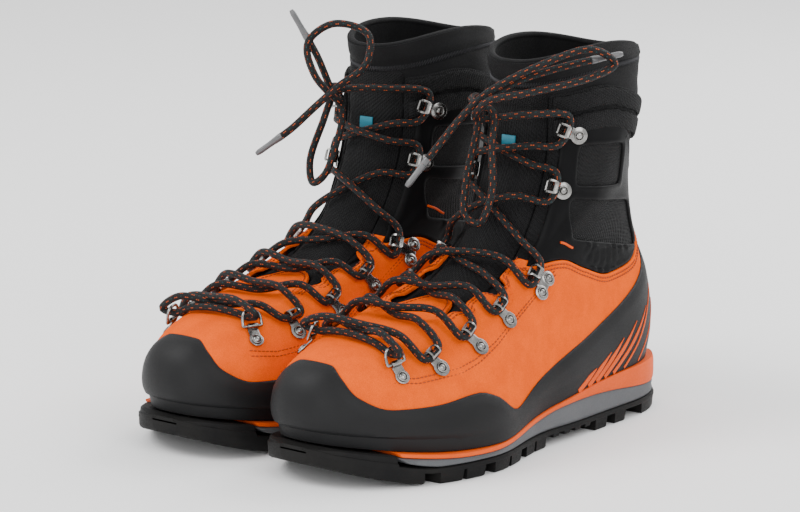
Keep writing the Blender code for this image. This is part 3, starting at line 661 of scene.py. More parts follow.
def weave_group() -> bpy.types.NodeTree:
    """A weave on cloth coordinates: rows of small diagonal openings, as holes and height."""
    if "cloth_weave" in bpy.data.node_groups:
        return bpy.data.node_groups["cloth_weave"]
    graph, start, end = shader_group("cloth_weave", {"Cloth": None, "Pitch": 0.0022, "Slant": 0.5},
                                     {"Hole": "NodeSocketFloat", "Height": "NodeSocketFloat"})
    apart = graph.node("ShaderNodeSeparateXYZ", {0: start.outputs[0]})
    u = graph.math("DIVIDE", apart.outputs[0], start.outputs[1])
    v = graph.math("DIVIDE", apart.outputs[1], start.outputs[1])
    lean = graph.math("MULTIPLY_ADD", v, start.outputs[2], u)
    rise = graph.math("MULTIPLY_ADD", u, -0.35, graph.math("MULTIPLY", v, 0.8))
    wave = [graph.math("SINE", graph.math("MULTIPLY", value, math.tau)) for value in (lean, rise)]
    both = graph.math("MULTIPLY", *wave)
    thread = graph.math("SINE", graph.math("MULTIPLY", graph.math("ADD", lean, rise), math.tau * 3))
    graph.tree.links.new(graph.ramp(both, 0.15, 0.75), end.inputs["Hole"])
    graph.tree.links.new(graph.math("MULTIPLY_ADD", thread, 0.12, graph.math("MULTIPLY", both, -0.8)),
                         end.inputs["Height"])
    return graph.tree


def braid_group() -> bpy.types.NodeTree:
    """A round cord's braided sheath: two flecks of colour and height, from (run, share round)."""
    if "cord_braid" in bpy.data.node_groups:
        return bpy.data.node_groups["cord_braid"]
    graph, start, end = shader_group("cord_braid", {"Cloth": None, "Turn": 0.022, "Strands": 18.0},
                                     {"Warm": "NodeSocketFloat", "Cool": "NodeSocketFloat",
                                      "Height": "NodeSocketFloat"})
    apart = graph.node("ShaderNodeSeparateXYZ", {0: start.outputs[0]})
    run = graph.math("DIVIDE", apart.outputs[0], start.outputs[1])
    lays = []
    for sign in (1.0, -1.0):
        share = graph.math("MULTIPLY_ADD", apart.outputs[1], sign, run)
        lays.append(graph.math("MULTIPLY", graph.math("ADD", share, 64.0), start.outputs[2]))
    cell = [graph.math("FLOOR", lay) for lay in lays]
    of_six = [graph.math("MODULO", value, 6.0) for value in cell]
    checker = graph.math("MODULO", graph.math("ADD", *cell), 2.0)
    over = graph.math("LESS_THAN", checker, 0.5)

    def band(value: bpy.types.NodeSocket, low: float, high: float) -> bpy.types.NodeSocket:
        """One where low < value < high."""
        return graph.math("MULTIPLY", graph.math("GREATER_THAN", value, low),
                          graph.math("LESS_THAN", value, high))

    warm = graph.math("MULTIPLY", band(of_six[0], -0.5, 1.5), band(of_six[1], -0.5, 1.5))
    cool = graph.math("MULTIPLY", band(of_six[0], 2.5, 3.5), band(of_six[1], 2.5, 4.5))
    under = graph.math("SUBTRACT", 1.0, over)
    graph.tree.links.new(graph.math("MULTIPLY", warm, over), end.inputs["Warm"])
    graph.tree.links.new(graph.math("MULTIPLY", cool, under), end.inputs["Cool"])
    bumps = [graph.math("ABSOLUTE", graph.math("SINE", graph.math("MULTIPLY", lay, math.pi))) for lay in lays]
    mixed = graph.math("ADD", graph.math("MULTIPLY", bumps[0], over), graph.math("MULTIPLY", bumps[1], under))
    graph.tree.links.new(mixed, end.inputs["Height"])
    return graph.tree


# ---- finishes ----------------------------------------------------------------------------------------
class Weave(Enum):
    """How a fabric is made."""

    NONE = 0
    MESH = 1
    WEBBING = 2
    KNIT = 3


@dataclass(frozen=True)
class Finish:
    """One finish: its colours, gloss and surface detail.

    Attributes:
        name: the material's name.
        colour: main colour, linear.
        shade: the colour of its darker or worn patches.
        roughness: roughness in its middle tone.
        spread: how far the roughness moves with the grain.
        metallic: 1 for metal.
        broad: size of its patches in millimetres.
        fine: size of its grain in millimetres.
        depth: height of its grain in millimetres.
        mix: how much the patches show.
        speck: how much the fine grain shows in colour.
        sheen: sheen weight.
        coat: coat weight.
        weave: its weave.
        pitch: the weave's pitch in millimetres.
        rim: how much lighter the piece is at its edge.
        gloss: specular level.
    """

    name: str
    colour: tuple
    shade: tuple
    roughness: float
    spread: float = 0.1
    metallic: float = 0.0
    broad: float = 22.0
    fine: float = 1.1
    depth: float = 0.08
    mix: float = 0.6
    speck: float = 0.25
    sheen: float = 0.0
    coat: float = 0.0
    weave: Weave = Weave.NONE
    pitch: float = 2.2
    rim: float = 0.0
    gloss: float = 0.5

    def material(self) -> bpy.types.Material:
        """The finish's material, made at its first use."""
        made = bpy.data.materials.get(self.name)
        if made:
            return made
        made, graph, shader = started(self.name)
        shader.inputs["Metallic"].default_value = self.metallic
        shader.inputs["Specular IOR Level"].default_value = self.gloss
        shader.inputs["Sheen Weight"].default_value = self.sheen
        shader.inputs["Sheen Roughness"].default_value = 0.45
        shader.inputs["Coat Weight"].default_value = self.coat
        shader.inputs["Coat Roughness"].default_value = 0.35
        place = graph.node("ShaderNodeTexCoord").outputs["Object"]
        grain = graph.node("ShaderNodeGroup")
        grain.node_tree = grain_group()
        made.node_tree.links.new(place, grain.inputs["Place"])
        grain.inputs["Broad"].default_value = 1000 / self.broad
        grain.inputs["Fine"].default_value = 1000 / self.fine
        tone = graph.math("MULTIPLY", grain.outputs["Tone"], self.mix)
        both = graph.math("MULTIPLY_ADD", grain.outputs["Speck"], self.speck, tone)
        colour = graph.blend(both, self.colour, self.shade)
        height = graph.math("MULTIPLY", grain.outputs["Height"], self.depth * MM)
        if self.weave is not Weave.NONE:
            colour, height = self.woven(graph, colour, height)
        if self.rim:
            edge = graph.node("ShaderNodeAttribute", attribute_name="edge_mm").outputs["Fac"]
            worn = graph.math("MULTIPLY", graph.ramp(edge, 0.2, 1.4, 1.0, 0.0), self.rim)
            colour = graph.blend(worn, colour, tuple(min(1, c * 1.6 + 0.012) for c in self.colour))
        made.node_tree.links.new(colour, shader.inputs["Base Color"])
        rough = graph.ramp(grain.outputs["Speck"], 0, 1, self.roughness - self.spread,
                           self.roughness + self.spread)
        made.node_tree.links.new(rough, shader.inputs["Roughness"])
        bump = graph.node("ShaderNodeBump", {"Height": height, "Distance": 1.0, "Strength": 1.0})
        made.node_tree.links.new(bump.outputs[0], shader.inputs["Normal"])
        made.diffuse_color = (*self.colour, 1)
        return made

    def woven(self, graph: Graph, colour: bpy.types.NodeSocket,
              height: bpy.types.NodeSocket) -> tuple[bpy.types.NodeSocket, bpy.types.NodeSocket]:
        """Lay the weave over the grain, with painted shade in its openings.

        Args:
            graph: the material's graph.
            colour: the grain's colour.
            height: the grain's height.

        Returns:
            The colour and height with the weave in them.
        """
        cloth = graph.node("ShaderNodeUVMap", uv_map="cloth").outputs[0]
        weave = graph.node("ShaderNodeGroup")
        weave.node_tree = weave_group()
        graph.tree.links.new(cloth, weave.inputs["Cloth"])
        weave.inputs["Pitch"].default_value = self.pitch * MM
        slant, tall = {Weave.MESH: (0.5, 0.5), Weave.WEBBING: (0.0, 0.3), Weave.KNIT: (1.0, 0.12)}[self.weave]
        weave.inputs["Slant"].default_value = slant
        # Painted shade: the weave's openings are darkened towards a quarter of the fabric's colour, standing
        # in for the shade inside them.
        dark = graph.math("MULTIPLY", weave.outputs["Hole"], 0.75 if self.weave is Weave.MESH else 0.3)
        colour = graph.blend(dark, colour, tuple(c * 0.25 for c in self.colour))
        raised = graph.math("MULTIPLY_ADD", weave.outputs["Height"], tall * MM, height)
        return colour, raised


@dataclass(frozen=True)
class CordFinish:
    """The lace: a dark braided sheath with two colours of fleck."""

    name: str = "lace_braid"
    base: tuple = (0.0045, 0.005, 0.0055)
    warm: tuple = (0.55, 0.085, 0.008)
    cool: tuple = (0.004, 0.05, 0.055)

    def material(self) -> bpy.types.Material:
        """The cord's material, made at its first use."""
        made = bpy.data.materials.get(self.name)
        if made:
            return made
        made, graph, shader = started(self.name)
        shader.inputs["Specular IOR Level"].default_value = 0.3
        shader.inputs["Roughness"].default_value = 0.6
        cloth = graph.node("ShaderNodeUVMap", uv_map="cloth").outputs[0]
        braid = graph.node("ShaderNodeGroup")
        braid.node_tree = braid_group()
        graph.tree.links.new(cloth, braid.inputs["Cloth"])
        colour = graph.blend(braid.outputs["Warm"], self.base, self.warm)
        colour = graph.blend(braid.outputs["Cool"], colour, self.cool)
        graph.tree.links.new(colour, shader.inputs["Base Color"])
        height = graph.math("MULTIPLY", braid.outputs["Height"], 0.28 * MM)
        bump = graph.node("ShaderNodeBump", {"Height": height, "Distance": 1.0})
        graph.tree.links.new(bump.outputs[0], shader.inputs["Normal"])
        return made


SUEDE = Finish("orange_suede", (0.86, 0.110, 0.0), (0.64, 0.072, 0.0), 0.9, 0.06, broad=13.0, fine=0.7,
               depth=0.16, mix=0.4, speck=0.4, rim=0.1, gloss=0.03)
SUEDE_EDGE = Finish("suede_thread", (0.30, 0.045, 0.004), (0.22, 0.03, 0.003), 0.8, fine=0.5)
RUBBER = Finish("smooth_rand_rubber", (0.0055, 0.0055, 0.006), (0.0085, 0.0085, 0.009), 0.55, 0.07,
                broad=35.0, fine=0.6, depth=0.035, mix=0.7, speck=0.5, rim=0.25, gloss=0.2)
LUG_RUBBER = Finish("lug_rubber", (0.005, 0.005, 0.0055), (0.010, 0.0095, 0.009), 0.62, 0.1, broad=28.0,
                    fine=0.9, depth=0.05, mix=0.8, speck=0.4, gloss=0.12)
BAND = Finish("orange_band", (0.74, 0.088, 0.001), (0.58, 0.064, 0.001), 0.6, 0.08, broad=30.0, fine=0.8,
              depth=0.05, mix=0.5, gloss=0.2)
GREY = Finish("grey_midsole", (0.10, 0.104, 0.11), (0.078, 0.081, 0.087), 0.65, 0.08, broad=25.0, fine=0.8,
              depth=0.06, mix=0.6, gloss=0.25)
MESH = Finish("ankle_mesh", (0.0045, 0.0045, 0.005), (0.008, 0.008, 0.0085), 0.85, 0.08, depth=0.05,
              weave=Weave.MESH, pitch=2.3, gloss=0.22)
MATTE = Finish("matte_overlay", (0.0035, 0.0035, 0.0038), (0.0055, 0.0055, 0.006), 0.48, 0.07, broad=30.0,
               fine=0.5, depth=0.03, mix=0.5, rim=0.25, gloss=0.06)
KNIT = Finish("stretch_cuff_knit", (0.004, 0.004, 0.0045), (0.007, 0.007, 0.0075), 0.75, 0.06, depth=0.04,
              weave=Weave.KNIT, pitch=1.3, gloss=0.18)
FLEECE = Finish("lining_fleece", (0.010, 0.010, 0.0115), (0.006, 0.006, 0.007), 0.95, 0.04, broad=10.0,
                depth=0.2, gloss=0.15)
WEBBING = Finish("woven_webbing", (0.006, 0.006, 0.0065), (0.010, 0.010, 0.0105), 0.75, weave=Weave.WEBBING,
                 pitch=1.6, depth=0.03, gloss=0.25)
FELT = Finish("pressed_felt", (0.07, 0.07, 0.078), (0.05, 0.05, 0.056), 0.95, 0.04, broad=12.0, depth=0.2)
BOARD = Finish("fibre_board", (0.26, 0.21, 0.15), (0.2, 0.16, 0.11), 0.9, 0.04)
NICKEL = Finish("dark_nickel", (0.34, 0.335, 0.325), (0.15, 0.147, 0.14), 0.24, 0.06, metallic=1.0, broad=5.0,
                fine=0.5, depth=0.012, mix=0.75, speck=0.2)
PALE_THREAD = Finish("cuff_thread", (0.045, 0.045, 0.05), (0.03, 0.03, 0.034), 0.6, 0.05, fine=0.5)
PATCH = Finish("teal_patch", (0.01, 0.19, 0.27), (0.008, 0.14, 0.2), 0.55, 0.05, fine=0.5)
AGLET = Finish("clear_aglet", (0.05, 0.05, 0.052), (0.10, 0.10, 0.105), 0.22, 0.05, fine=0.6, coat=0.6)
CORD = CordFinish()


# ---- repeated details made by node trees -------------------------------------------------------------
class NodeTool:
    """A geometry node tree with named inputs, used once and turned into a plain mesh."""

    def __init__(self, name: str, sizes: dict[str, float]) -> None:
        """Start the tree with its geometry, its sizes and its material as inputs."""
        self.tree = bpy.data.node_groups.new(name, "GeometryNodeTree")
        face = self.tree.interface
        face.new_socket("Geometry", in_out="INPUT", socket_type="NodeSocketGeometry")
        for key, value in sizes.items():
            face.new_socket(key, in_out="INPUT", socket_type="NodeSocketFloat").default_value = value
        face.new_socket("Material", in_out="INPUT", socket_type="NodeSocketMaterial")
        face.new_socket("Geometry", in_out="OUTPUT", socket_type="NodeSocketGeometry")
        self.graph = Graph(self.tree)
        self.start = self.graph.node("NodeGroupInput")

    def facing(self) -> bpy.types.NodeSocket:
        """A rotation that stands on the lift attribute and runs along the curve."""
        lift = self.graph.node("GeometryNodeInputNamedAttribute", {"Name": "lift"}, data_type="FLOAT_VECTOR")
        ahead = self.graph.node("GeometryNodeInputNamedAttribute", {"Name": "ahead"},
                                data_type="FLOAT_VECTOR")
        up = self.graph.node("FunctionNodeAlignRotationToVector", {"Vector": lift.outputs[0]}, axis="Z")
        turned = self.graph.node("FunctionNodeAlignRotationToVector",
                                 {"Rotation": up.outputs[0], "Vector": ahead.outputs[0]}, axis="X",
                                 pivot_axis="Z")
        return turned.outputs[0]

    def end(self, geometry: bpy.types.NodeSocket) -> None:
        """Realise the instances, set the material and close the tree."""
        real = self.graph.node("GeometryNodeRealizeInstances", {0: geometry})
        smooth_ = self.graph.node("GeometryNodeSetShadeSmooth", {0: real.outputs[0]})
        painted = self.graph.node("GeometryNodeSetMaterial",
                                  {0: smooth_.outputs[0], "Material": self.start.outputs["Material"]})
        last = self.graph.node("NodeGroupOutput")
        self.tree.links.new(painted.outputs[0], last.inputs[0])

    def run(self, name: str, side: Side, points: Array, lift: Array, ahead: Array, finish: Finish,
            edges: Sequence = (), **sizes: float) -> bpy.types.Object:
        """Run the tree over points of one boot.

        Args:
            name: the piece's name without its side.
            side: which boot it is on.
            points: where each copy stands, or the path's points.
            lift: each point's outward direction.
            ahead: each point's direction along the row.
            finish: what the copies are made of.
            edges: pairs of points, where the points form a path.
            sizes: values for the tree's inputs.

        Returns:
            The plain mesh's object.
        """
        data = bpy.data.meshes.new(f"{side.word}_{name}")
        data.from_pydata(placed(points, side).tolist(), [tuple(map(int, e)) for e in edges], [])
        for key, rows in (("lift", lift), ("ahead", ahead)):
            turned = np.asarray(rows, float) * (side.value, 1, 1)
            data.attributes.new(key, "FLOAT_VECTOR", "POINT").data.foreach_set(
                "vector", turned.astype(np.float32).ravel())
        obj = bpy.data.objects.new(data.name, data)
        bpy.context.scene.collection.objects.link(obj)
        modifier = obj.modifiers.new("Repeat", "NODES")
        modifier.node_group = self.tree
        for item in self.tree.interface.items_tree:
            if item.item_type == "SOCKET" and item.in_out == "INPUT":
                if item.name in sizes:
                    modifier[item.identifier] = float(sizes[item.name])
                elif item.name == "Material":
                    modifier[item.identifier] = finish.material()
        plain(obj)
        outward(obj.data)
        return obj


def stitch_tool() -> NodeTool:
    """A tree that puts one short rounded stitch at each point."""
    tool = NodeTool("stitch_row", {"Length": 2.4 * MM, "Thread": 0.42 * MM})
    ball = tool.graph.node("GeometryNodeMeshUVSphere", {"Segments": 8, "Rings": 5, "Radius": 1.0})
    half = tool.graph.math("MULTIPLY", tool.start.outputs["Length"], 0.5)
    size = tool.graph.node("ShaderNodeCombineXYZ", {0: half, 1: tool.start.outputs["Thread"],
                                                    2: tool.start.outputs["Thread"]})
    copies = tool.graph.node("GeometryNodeInstanceOnPoints", {
        "Points": tool.start.outputs[0], "Instance": ball.outputs["Mesh"], "Rotation": tool.facing(),
        "Scale": size.outputs[0]})
    tool.end(copies.outputs[0])
    return tool


def thread_tool() -> NodeTool:
    """A tree that runs one continuous thread along a path."""
    tool = NodeTool("thread_run", {"Thread": 0.4 * MM})
    line = tool.graph.node("GeometryNodeMeshToCurve", {0: tool.start.outputs[0]})
    ring = tool.graph.node("GeometryNodeCurvePrimitiveCircle", {"Resolution": 6,
                                                                "Radius": tool.start.outputs["Thread"]})
    made = tool.graph.node("GeometryNodeCurveToMesh", {"Curve": line.outputs[0],
                                                       "Profile Curve": ring.outputs[0], "Fill Caps": True})
    tool.end(made.outputs[0])
    return tool


def rivet_tool() -> NodeTool:
    """A tree that puts a domed rivet in a raised ring at each point."""
    tool = NodeTool("domed_rivets", {"Radius": 3.1 * MM, "Height": 1.3 * MM})
    radius, height = tool.start.outputs["Radius"], tool.start.outputs["Height"]
    graph = tool.graph
    foot = graph.node("GeometryNodeMeshCylinder", {"Vertices": 28, "Radius": radius,
                                                   "Depth": graph.math("MULTIPLY", height, 0.8)})
    ball = graph.node("GeometryNodeMeshUVSphere", {"Segments": 28, "Rings": 14,
                                                   "Radius": graph.math("MULTIPLY", radius, 0.74)})
    flat = graph.node("GeometryNodeTransform", {"Geometry": ball.outputs["Mesh"], "Scale": (1, 1, 0.62)})
    circle = graph.node("GeometryNodeCurvePrimitiveCircle", {"Resolution": 28,
                                                             "Radius": graph.math("MULTIPLY", radius, 0.93)})
    wire = graph.node("GeometryNodeCurvePrimitiveCircle", {"Resolution": 8,
                                                           "Radius": graph.math("MULTIPLY", radius, 0.13)})
    rim = graph.node("GeometryNodeCurveToMesh",
                     {"Curve": circle.outputs[0], "Profile Curve": wire.outputs[0]})
    lifted = graph.node("GeometryNodeTransform", {"Geometry": rim.outputs[0]})
    up = graph.node("ShaderNodeCombineXYZ", {2: graph.math("MULTIPLY", height, 0.42)})
    graph.tree.links.new(up.outputs[0], lifted.inputs["Translation"])
    all_ = graph.node("GeometryNodeJoinGeometry")
    for part in (foot.outputs["Mesh"], flat.outputs[0], lifted.outputs[0]):
        graph.tree.links.new(part, all_.inputs[0])
    copies = graph.node("GeometryNodeInstanceOnPoints", {
        "Points": tool.start.outputs[0], "Instance": all_.outputs[0], "Rotation": tool.facing()})
    tool.end(copies.outputs[0])
    return tool


def swelled(points: Array, faces: list, grain: float = 2.0, most: float = 2.6) -> tuple[Array, list]:
    """A thin closed pad blown up as filled cloth, with each point's travel capped.

    Args:
        points: its points in millimetres.
        faces: lists of point numbers.
        grain: size of the even mesh that it is simulated on.
        most: how far a point may move.

    Returns:
        Points and faces of the swelled pad.
    """
    data = bpy.data.meshes.new("pad")
    data.from_pydata((points * MM).tolist(), [], [list(map(int, ring)) for ring in faces])
    pad = bpy.data.objects.new("pad", data)
    bpy.context.scene.collection.objects.link(pad)
    outward(data)
    even = pad.modifiers.new("even", "REMESH")
    even.mode, even.voxel_size = "VOXEL", grain * MM
    plain(pad)
    start = np.array([v.co for v in pad.data.vertices])
    cloth = pad.modifiers.new("cloth", "CLOTH")
    cloth.settings.use_pressure, cloth.settings.uniform_pressure_force = True, 4.0
    cloth.settings.effector_weights.gravity = 0.0
    cloth.point_cache.frame_start, cloth.point_cache.frame_end = 1, 20
    for frame in range(1, 21):
        bpy.context.scene.frame_set(frame)
    plain(pad)
    bpy.context.scene.frame_set(1)
    move = np.array([v.co for v in pad.data.vertices]) - start
    reach = np.maximum(np.linalg.norm(move, axis=1, keepdims=True), 1e-9)
    end = start + move * np.minimum(1.0, most * MM / reach)
    for vertex, place in zip(pad.data.vertices, end):
        vertex.co = place
    soft = pad.modifiers.new("soft", "SUBSURF")
    soft.levels = soft.render_levels = 1
    plain(pad)
    outward(pad.data)
    result = (np.array([v.co for v in pad.data.vertices]) / MM, [list(p.vertices) for p in pad.data.polygons])
    bpy.data.objects.remove(pad)
    return result


# ---- the upper ---------------------------------------------------------------------------------------
def beyond(line: Sequence[tuple[float, float]]) -> Field:
    """A field that is positive in the side view below a line of (y, z) points."""
    return lambda sheet: eased_line(line, sheet.y) - sheet.z


def turned(field: Field, offset: float = 0.0) -> Field:
    """The opposite of a field, moved back by an offset."""
    return lambda sheet: -field(sheet) - offset


def panel(corners: Sequence[tuple[float, float]]) -> Field:
    """A field that is positive outside a soft-cornered polygon of the side view."""
    def outside(sheet: Sheet) -> Array:
        """Distance outside the polygon."""
        total = np.zeros_like(sheet.x)
        for (y0, z0), (y1, z1) in zip(corners, list(corners[1:]) + [corners[0]]):
            long = math.hypot(y1 - y0, z1 - z0)
            inside = ((y1 - y0) * (sheet.z - z0) - (z1 - z0) * (sheet.y - y0)) / long
            total += np.exp(-0.55 * np.clip(inside, -60, 60))
        return np.log(total) / 0.55
    return outside


@dataclass(frozen=True)
class Upper:
    """The upper of one boot: vamp, rand, ankle shell and overlay, tongue, lining, cuff and trims."""

    rand_top: tuple = ((0, 2.55), (9, 2.5), (18, 2.05), (26, 1.5), (38, 1.15), (52, 1.2), (66, 1.36),
                       (71, 1.2), (80, 0.62), (92, 1.1), (106, 1.65), (125, 2.15), (155, 2.7), (180, 3.3))
    vamp_top: tuple = ((0, 7.0), (50, 6.85), (72, 5.4), (97, 4.4), (110, 3.65), (124, 3.1), (140, 3.0),
                       (158, 3.3), (180, 3.9))
    collar: tuple = ((20, 204), (45, 208), (72, 212), (105, 205), (140, 193))
    overlay_top: tuple = ((30, 184), (46, 190), (82, 189), (124, 155), (140, 150))
    cuff_foot: tuple = ((20, 185), (60, 190), (105, 183), (140, 172))
    window_a: tuple = ((52, 152), (101, 147), (93, 175), (55, 177))
    window_b: tuple = ((48, 120), (127, 104), (119, 134), (48, 145))
    opening: float = 23.0
    throat: float = -30.0
    slot_depth: float = 30.0
    tabs: tuple = ((-66, 25.5), (-58, 24), (-49, 23.2), (-46.5, 28), (-40, 28), (-37, 23.6), (-24, 23),
                   (-21, 31.5), (-10, 32), (-5.5, 24), (8, 24), (14, 30), (60, 30))

    def vamp_line(self, sheet: Sheet) -> Array:
        """Distance below the suede's upper edge."""
        return sheet.in_mm(eased_line(self.vamp_top, sheet.turn) - sheet.v)

    def rand_line(self, sheet: Sheet) -> Array:
        """Distance below the rand's upper edge."""
        return sheet.in_mm(eased_line(self.rand_top, sheet.turn) - sheet.v)

    def above_rand(self, sheet: Sheet) -> Array:
        """Distance above a line a little under the rand's upper edge."""
        return sheet.in_mm(sheet.v - eased_line(self.rand_top, sheet.turn)) + 7.0

    def slot(self, sheet: Sheet, half: Array | float, back: float) -> Array:
        """Distance outside a slot this half width wide, with a rounded flap at its throat."""
        side = np.abs(sheet.x)
        flap = self.throat - self.slot_depth * np.clip(side / self.opening, 0, 1) ** 2.6 - sheet.y
        return np.maximum.reduce([side - half, flap * 0.8, sheet.y - back])

    def facing(self, sheet: Sheet) -> Array:
        """Distance outside the opening over the tongue."""
        return self.slot(sheet, self.opening, 80)

    def facing_of_suede(self, sheet: Sheet) -> Array:
        """Distance outside the suede's facing, whose tabs step back between the fittings."""
        return self.slot(sheet, eased_line(self.tabs, sheet.y), 60)

    def relief_of_vamp(self, angle: Array, v: Array, reach: Array, base: Array) -> Array:
        """Stitched grooves near the edges, and a slow swell of the hide."""
        grooves = sum(np.exp(-((reach - d) / 0.55) ** 2) for d in (2.4, 4.6))
        swell = 0.35 * np.sin(base[:, 1] * 0.11 + base[:, 0] * 0.06) * np.sin(base[:, 2] * 0.13)
        crease = np.exp(-((base[:, 1] + 62) / 7) ** 2) * smooth((base[:, 2] - 52) / 15)
        open_ = smooth(reach / 9)
        return -0.42 * grooves * (np.abs(base[:, 1]) < 150) + (swell - 0.7 * crease) * open_

    def relief_of_rand(self, angle: Array, v: Array, reach: Array, base: Array) -> Array:
        """A thin upper edge, a swell over the toe and an undercut over the sole's front ledge."""
        turn = np.abs(angle)
        front = 1 - smooth((turn - 52) / 22)
        thin = -1.0 * (1 - smooth(reach / 7))
        under = -2.4 * front * (1 - smooth((v - 0.34) / 0.12))
        swell = 0.9 * smooth(reach / 18) * front * smooth((v - 0.4) / 0.3)
        sides = smooth((turn - 60) / 10) * (1 - smooth((turn - 128) / 12))
        fold = -0.25 * np.exp(-((v - 0.5) / 0.07) ** 2) * sides
        return thin + under + swell + fold

    def relief_of_shell(self, angle: Array, v: Array, reach: Array, base: Array) -> Array:
        """Two padded rolls under the collar's edge, with a seam between them."""
        down = eased_line(self.collar, base[:, 1]) - base[:, 2]
        first = np.sqrt(np.clip(np.sin(np.pi * np.clip(down / 12.5, 0, 1)), 0, 1))
        second = np.sqrt(np.clip(np.sin(np.pi * np.clip((down - 12.5) / 13, 0, 1)), 0, 1))
        back = smooth((base[:, 1] - 36) / 14)
        return (0.8 * first + 0.6 * second) * back

    def relief_of_overlay(self, angle: Array, v: Array, reach: Array, base: Array) -> Array:
        """A raised rim and upright ribs over the ankle's side."""
        y, z = base[:, 1], base[:, 2]
        foot = z - eased_line(((20, 102), (58, 98), (80, 88), (100, 92), (125, 106)), y)
        here = smooth((foot - 4) / 3) * (1 - smooth((foot - 20) / 4)) * smooth((y - 60) / 4)
        here = here * (1 - smooth((y - 112) / 5))
        ribs = np.clip(np.sin(2 * np.pi * (y + 0.22 * (z - 105)) / 7.2) * 1.6, -1, 1)
        rim = np.exp(-((reach - 1.9) / 0.8) ** 2)
        return 0.55 * ribs * here + 0.35 * rim

    def relief_of_tongue(self, angle: Array, v: Array, reach: Array, base: Array) -> Array:
        """A padded tongue with shallow channels across it."""
        puff = 2.4 * smooth(reach / 8)
        channel = np.exp(-(((base[:, 2] - 88) % 17 - 8.5) / 1.4) ** 2)
        return puff - 0.9 * channel * smooth(reach / 5)

    def relief_of_cuff(self, angle: Array, v: Array, reach: Array, base: Array) -> Array:
        """Soft wrinkles of the stretch cuff and a fuller upper hem."""
        height = base[:, 2] - eased_line(self.cuff_foot, base[:, 1])
        wave = np.sin(np.radians(angle) * 7 + 0.8 * np.sin(height * 0.3)) * np.sin(height * 0.22)
        hem = 1.1 * smooth((v - 11.2) / 0.3)
        return 0.45 * wave + hem + 1.0

    def shells(self) -> tuple:
        """Every shell of the upper: name, shape, finish, slot and the nodes that it stands for."""
        over_vamp = turned(self.vamp_line, 0.3)
        over_cuff_foot = turned(beyond(self.cuff_foot))
        return (
            ("suede_vamp",
             Shell((self.vamp_line, self.facing_of_suede, self.above_rand), (0.3, 2.2), 1.0,
                   self.relief_of_vamp, (1.8, 2.4, 3.0, 4.0, 4.6, 5.2)),
             SUEDE, "suede", ("leather_upper",)),
            ("toe_and_heel_rand",
             Shell((self.rand_line,), (2.5, 4.5), 1.2, self.relief_of_rand, (4.0, 7.0)),
             RUBBER, "rand_rubber", ("rand",)),
            ("ankle_mesh_shell",
             Shell((lambda s: s.in_mm(s.v - eased_line(self.vamp_top, s.turn) + 0.9), self.facing,
                    beyond(self.collar)), (-1.9, 0.0), 0.9, self.relief_of_shell, (3.0, 6.0)),
             MESH, "shell_mesh", ("ankle_shell",)),
            ("moulded_overlay",
             Shell((over_vamp, lambda s: self.facing(s) - 5.5, beyond(self.overlay_top),
                    panel(self.window_a), panel(self.window_b)), (0.3, 1.6), 0.8,
                   self.relief_of_overlay, (1.5, 2.6)),
             MATTE, "overlay", ("ankle_overlay",)),
            ("padded_tongue",
             Shell((turned(self.facing, 0.5), lambda s: beyond(self.collar)(s) + 4, lambda s: 60 - s.y),
                   (-1.9, -0.4), 1.0, self.relief_of_tongue, (3.0,)),
             MESH, "tongue_mesh", ("tongue",)),
            ("inner_lining",
             Shell((lambda s: s.in_mm(s.v - 1.3), beyond(self.cuff_foot)), (-4.6, -2.2), 0.5),
             FLEECE, "lining", ("lining",)),
            ("knitted_cuff",
             Shell((over_cuff_foot,), (-4.6, -2.2), 1.2, self.relief_of_cuff),
             KNIT, "cuff_knit", ("stretch_cuff",)),
        )

    def on_edge(self, top: tuple, start: float, end: float, inset: float, step: float) -> tuple:
        """Points on the form a little inside an edge that runs round it.

        Args:
            top: the edge's station by angle.
            start: first angle.
            end: last angle.
            inset: distance inside the edge.
            step: spacing of the points.

        Returns:
            Points, normals and directions.
        """
        angle = np.linspace(start, end, 400)
        v = eased_line(top, np.abs(angle))
        rise = FORM.point(angle, v) - FORM.point(angle, v - 0.1)
        ahead = unit(np.gradient(FORM.point(angle, v), axis=0))
        across = rise - ahead * (rise * ahead).sum(-1, keepdims=True)
        v_in = v - 0.1 * inset / np.maximum(np.linalg.norm(across, axis=1), 1e-3)
        return self.laid(angle, v_in, step)

    def laid(self, angle: Array, v: Array, step: float) -> tuple:
        """Even points along a line of angles and stations, with normals and directions."""
        line = spaced(np.concatenate([FORM.point(angle, v), angle[:, None], v[:, None]], -1), step)
        normal = FORM.normal(line[:, 3], line[:, 4])
        return line[:, :3], normal, unit(np.gradient(line[:, :3], axis=0))

    def seams(self) -> list:
        """Stitched rows on the suede: points, normals and directions."""
        rows = []
        for inset in (2.4, 4.6):
            for sign in (1, -1):
                rows.append(self.on_edge(self.vamp_top, sign * 64, sign * 176, inset, 3.1))
                rows.append(self.facing_row(sign, inset))
        for shift in (0.0, 2.4):
            turn = np.array((36, 46, 54, 60, 66, 73, 80, 86, 93), float)
            for sign in (1, -1):
                angle = sign * (turn + shift * 0.5)
                v = np.interp(np.abs(angle), (36, 46, 59, 62, 71, 84, 93),
                              (2.1, 2.0, 2.12, 2.15, 2.5, 3.5, 4.15))
                fine = np.linspace(0, len(angle) - 1, 120)
                rows.append(self.laid(np.interp(fine, range(len(angle)), angle),
                                      np.interp(fine, range(len(angle)), v - shift * 0.07), 3.1))
        rows.append(self.flap_row())
        return [tuple(part[on] for part in row) for row in rows for on in [self.on_suede(row[0])]]

    def on_suede(self, points: Array) -> Array:
        """Which points lie where the suede is, on the form."""
        outer = GRID.point[90:].reshape(-1, 3)
        close = [int(np.argmin(((outer - p * (np.sign(p[0]) or 1, 1, 1)) ** 2).sum(-1))) for p in points]
        v, turn = GRID.v[90:].ravel()[close], np.abs(GRID.angle[90:].ravel()[close])
        return (v < eased_line(self.vamp_top, turn) - 0.06) & (v > eased_line(self.rand_top, turn) + 0.05)

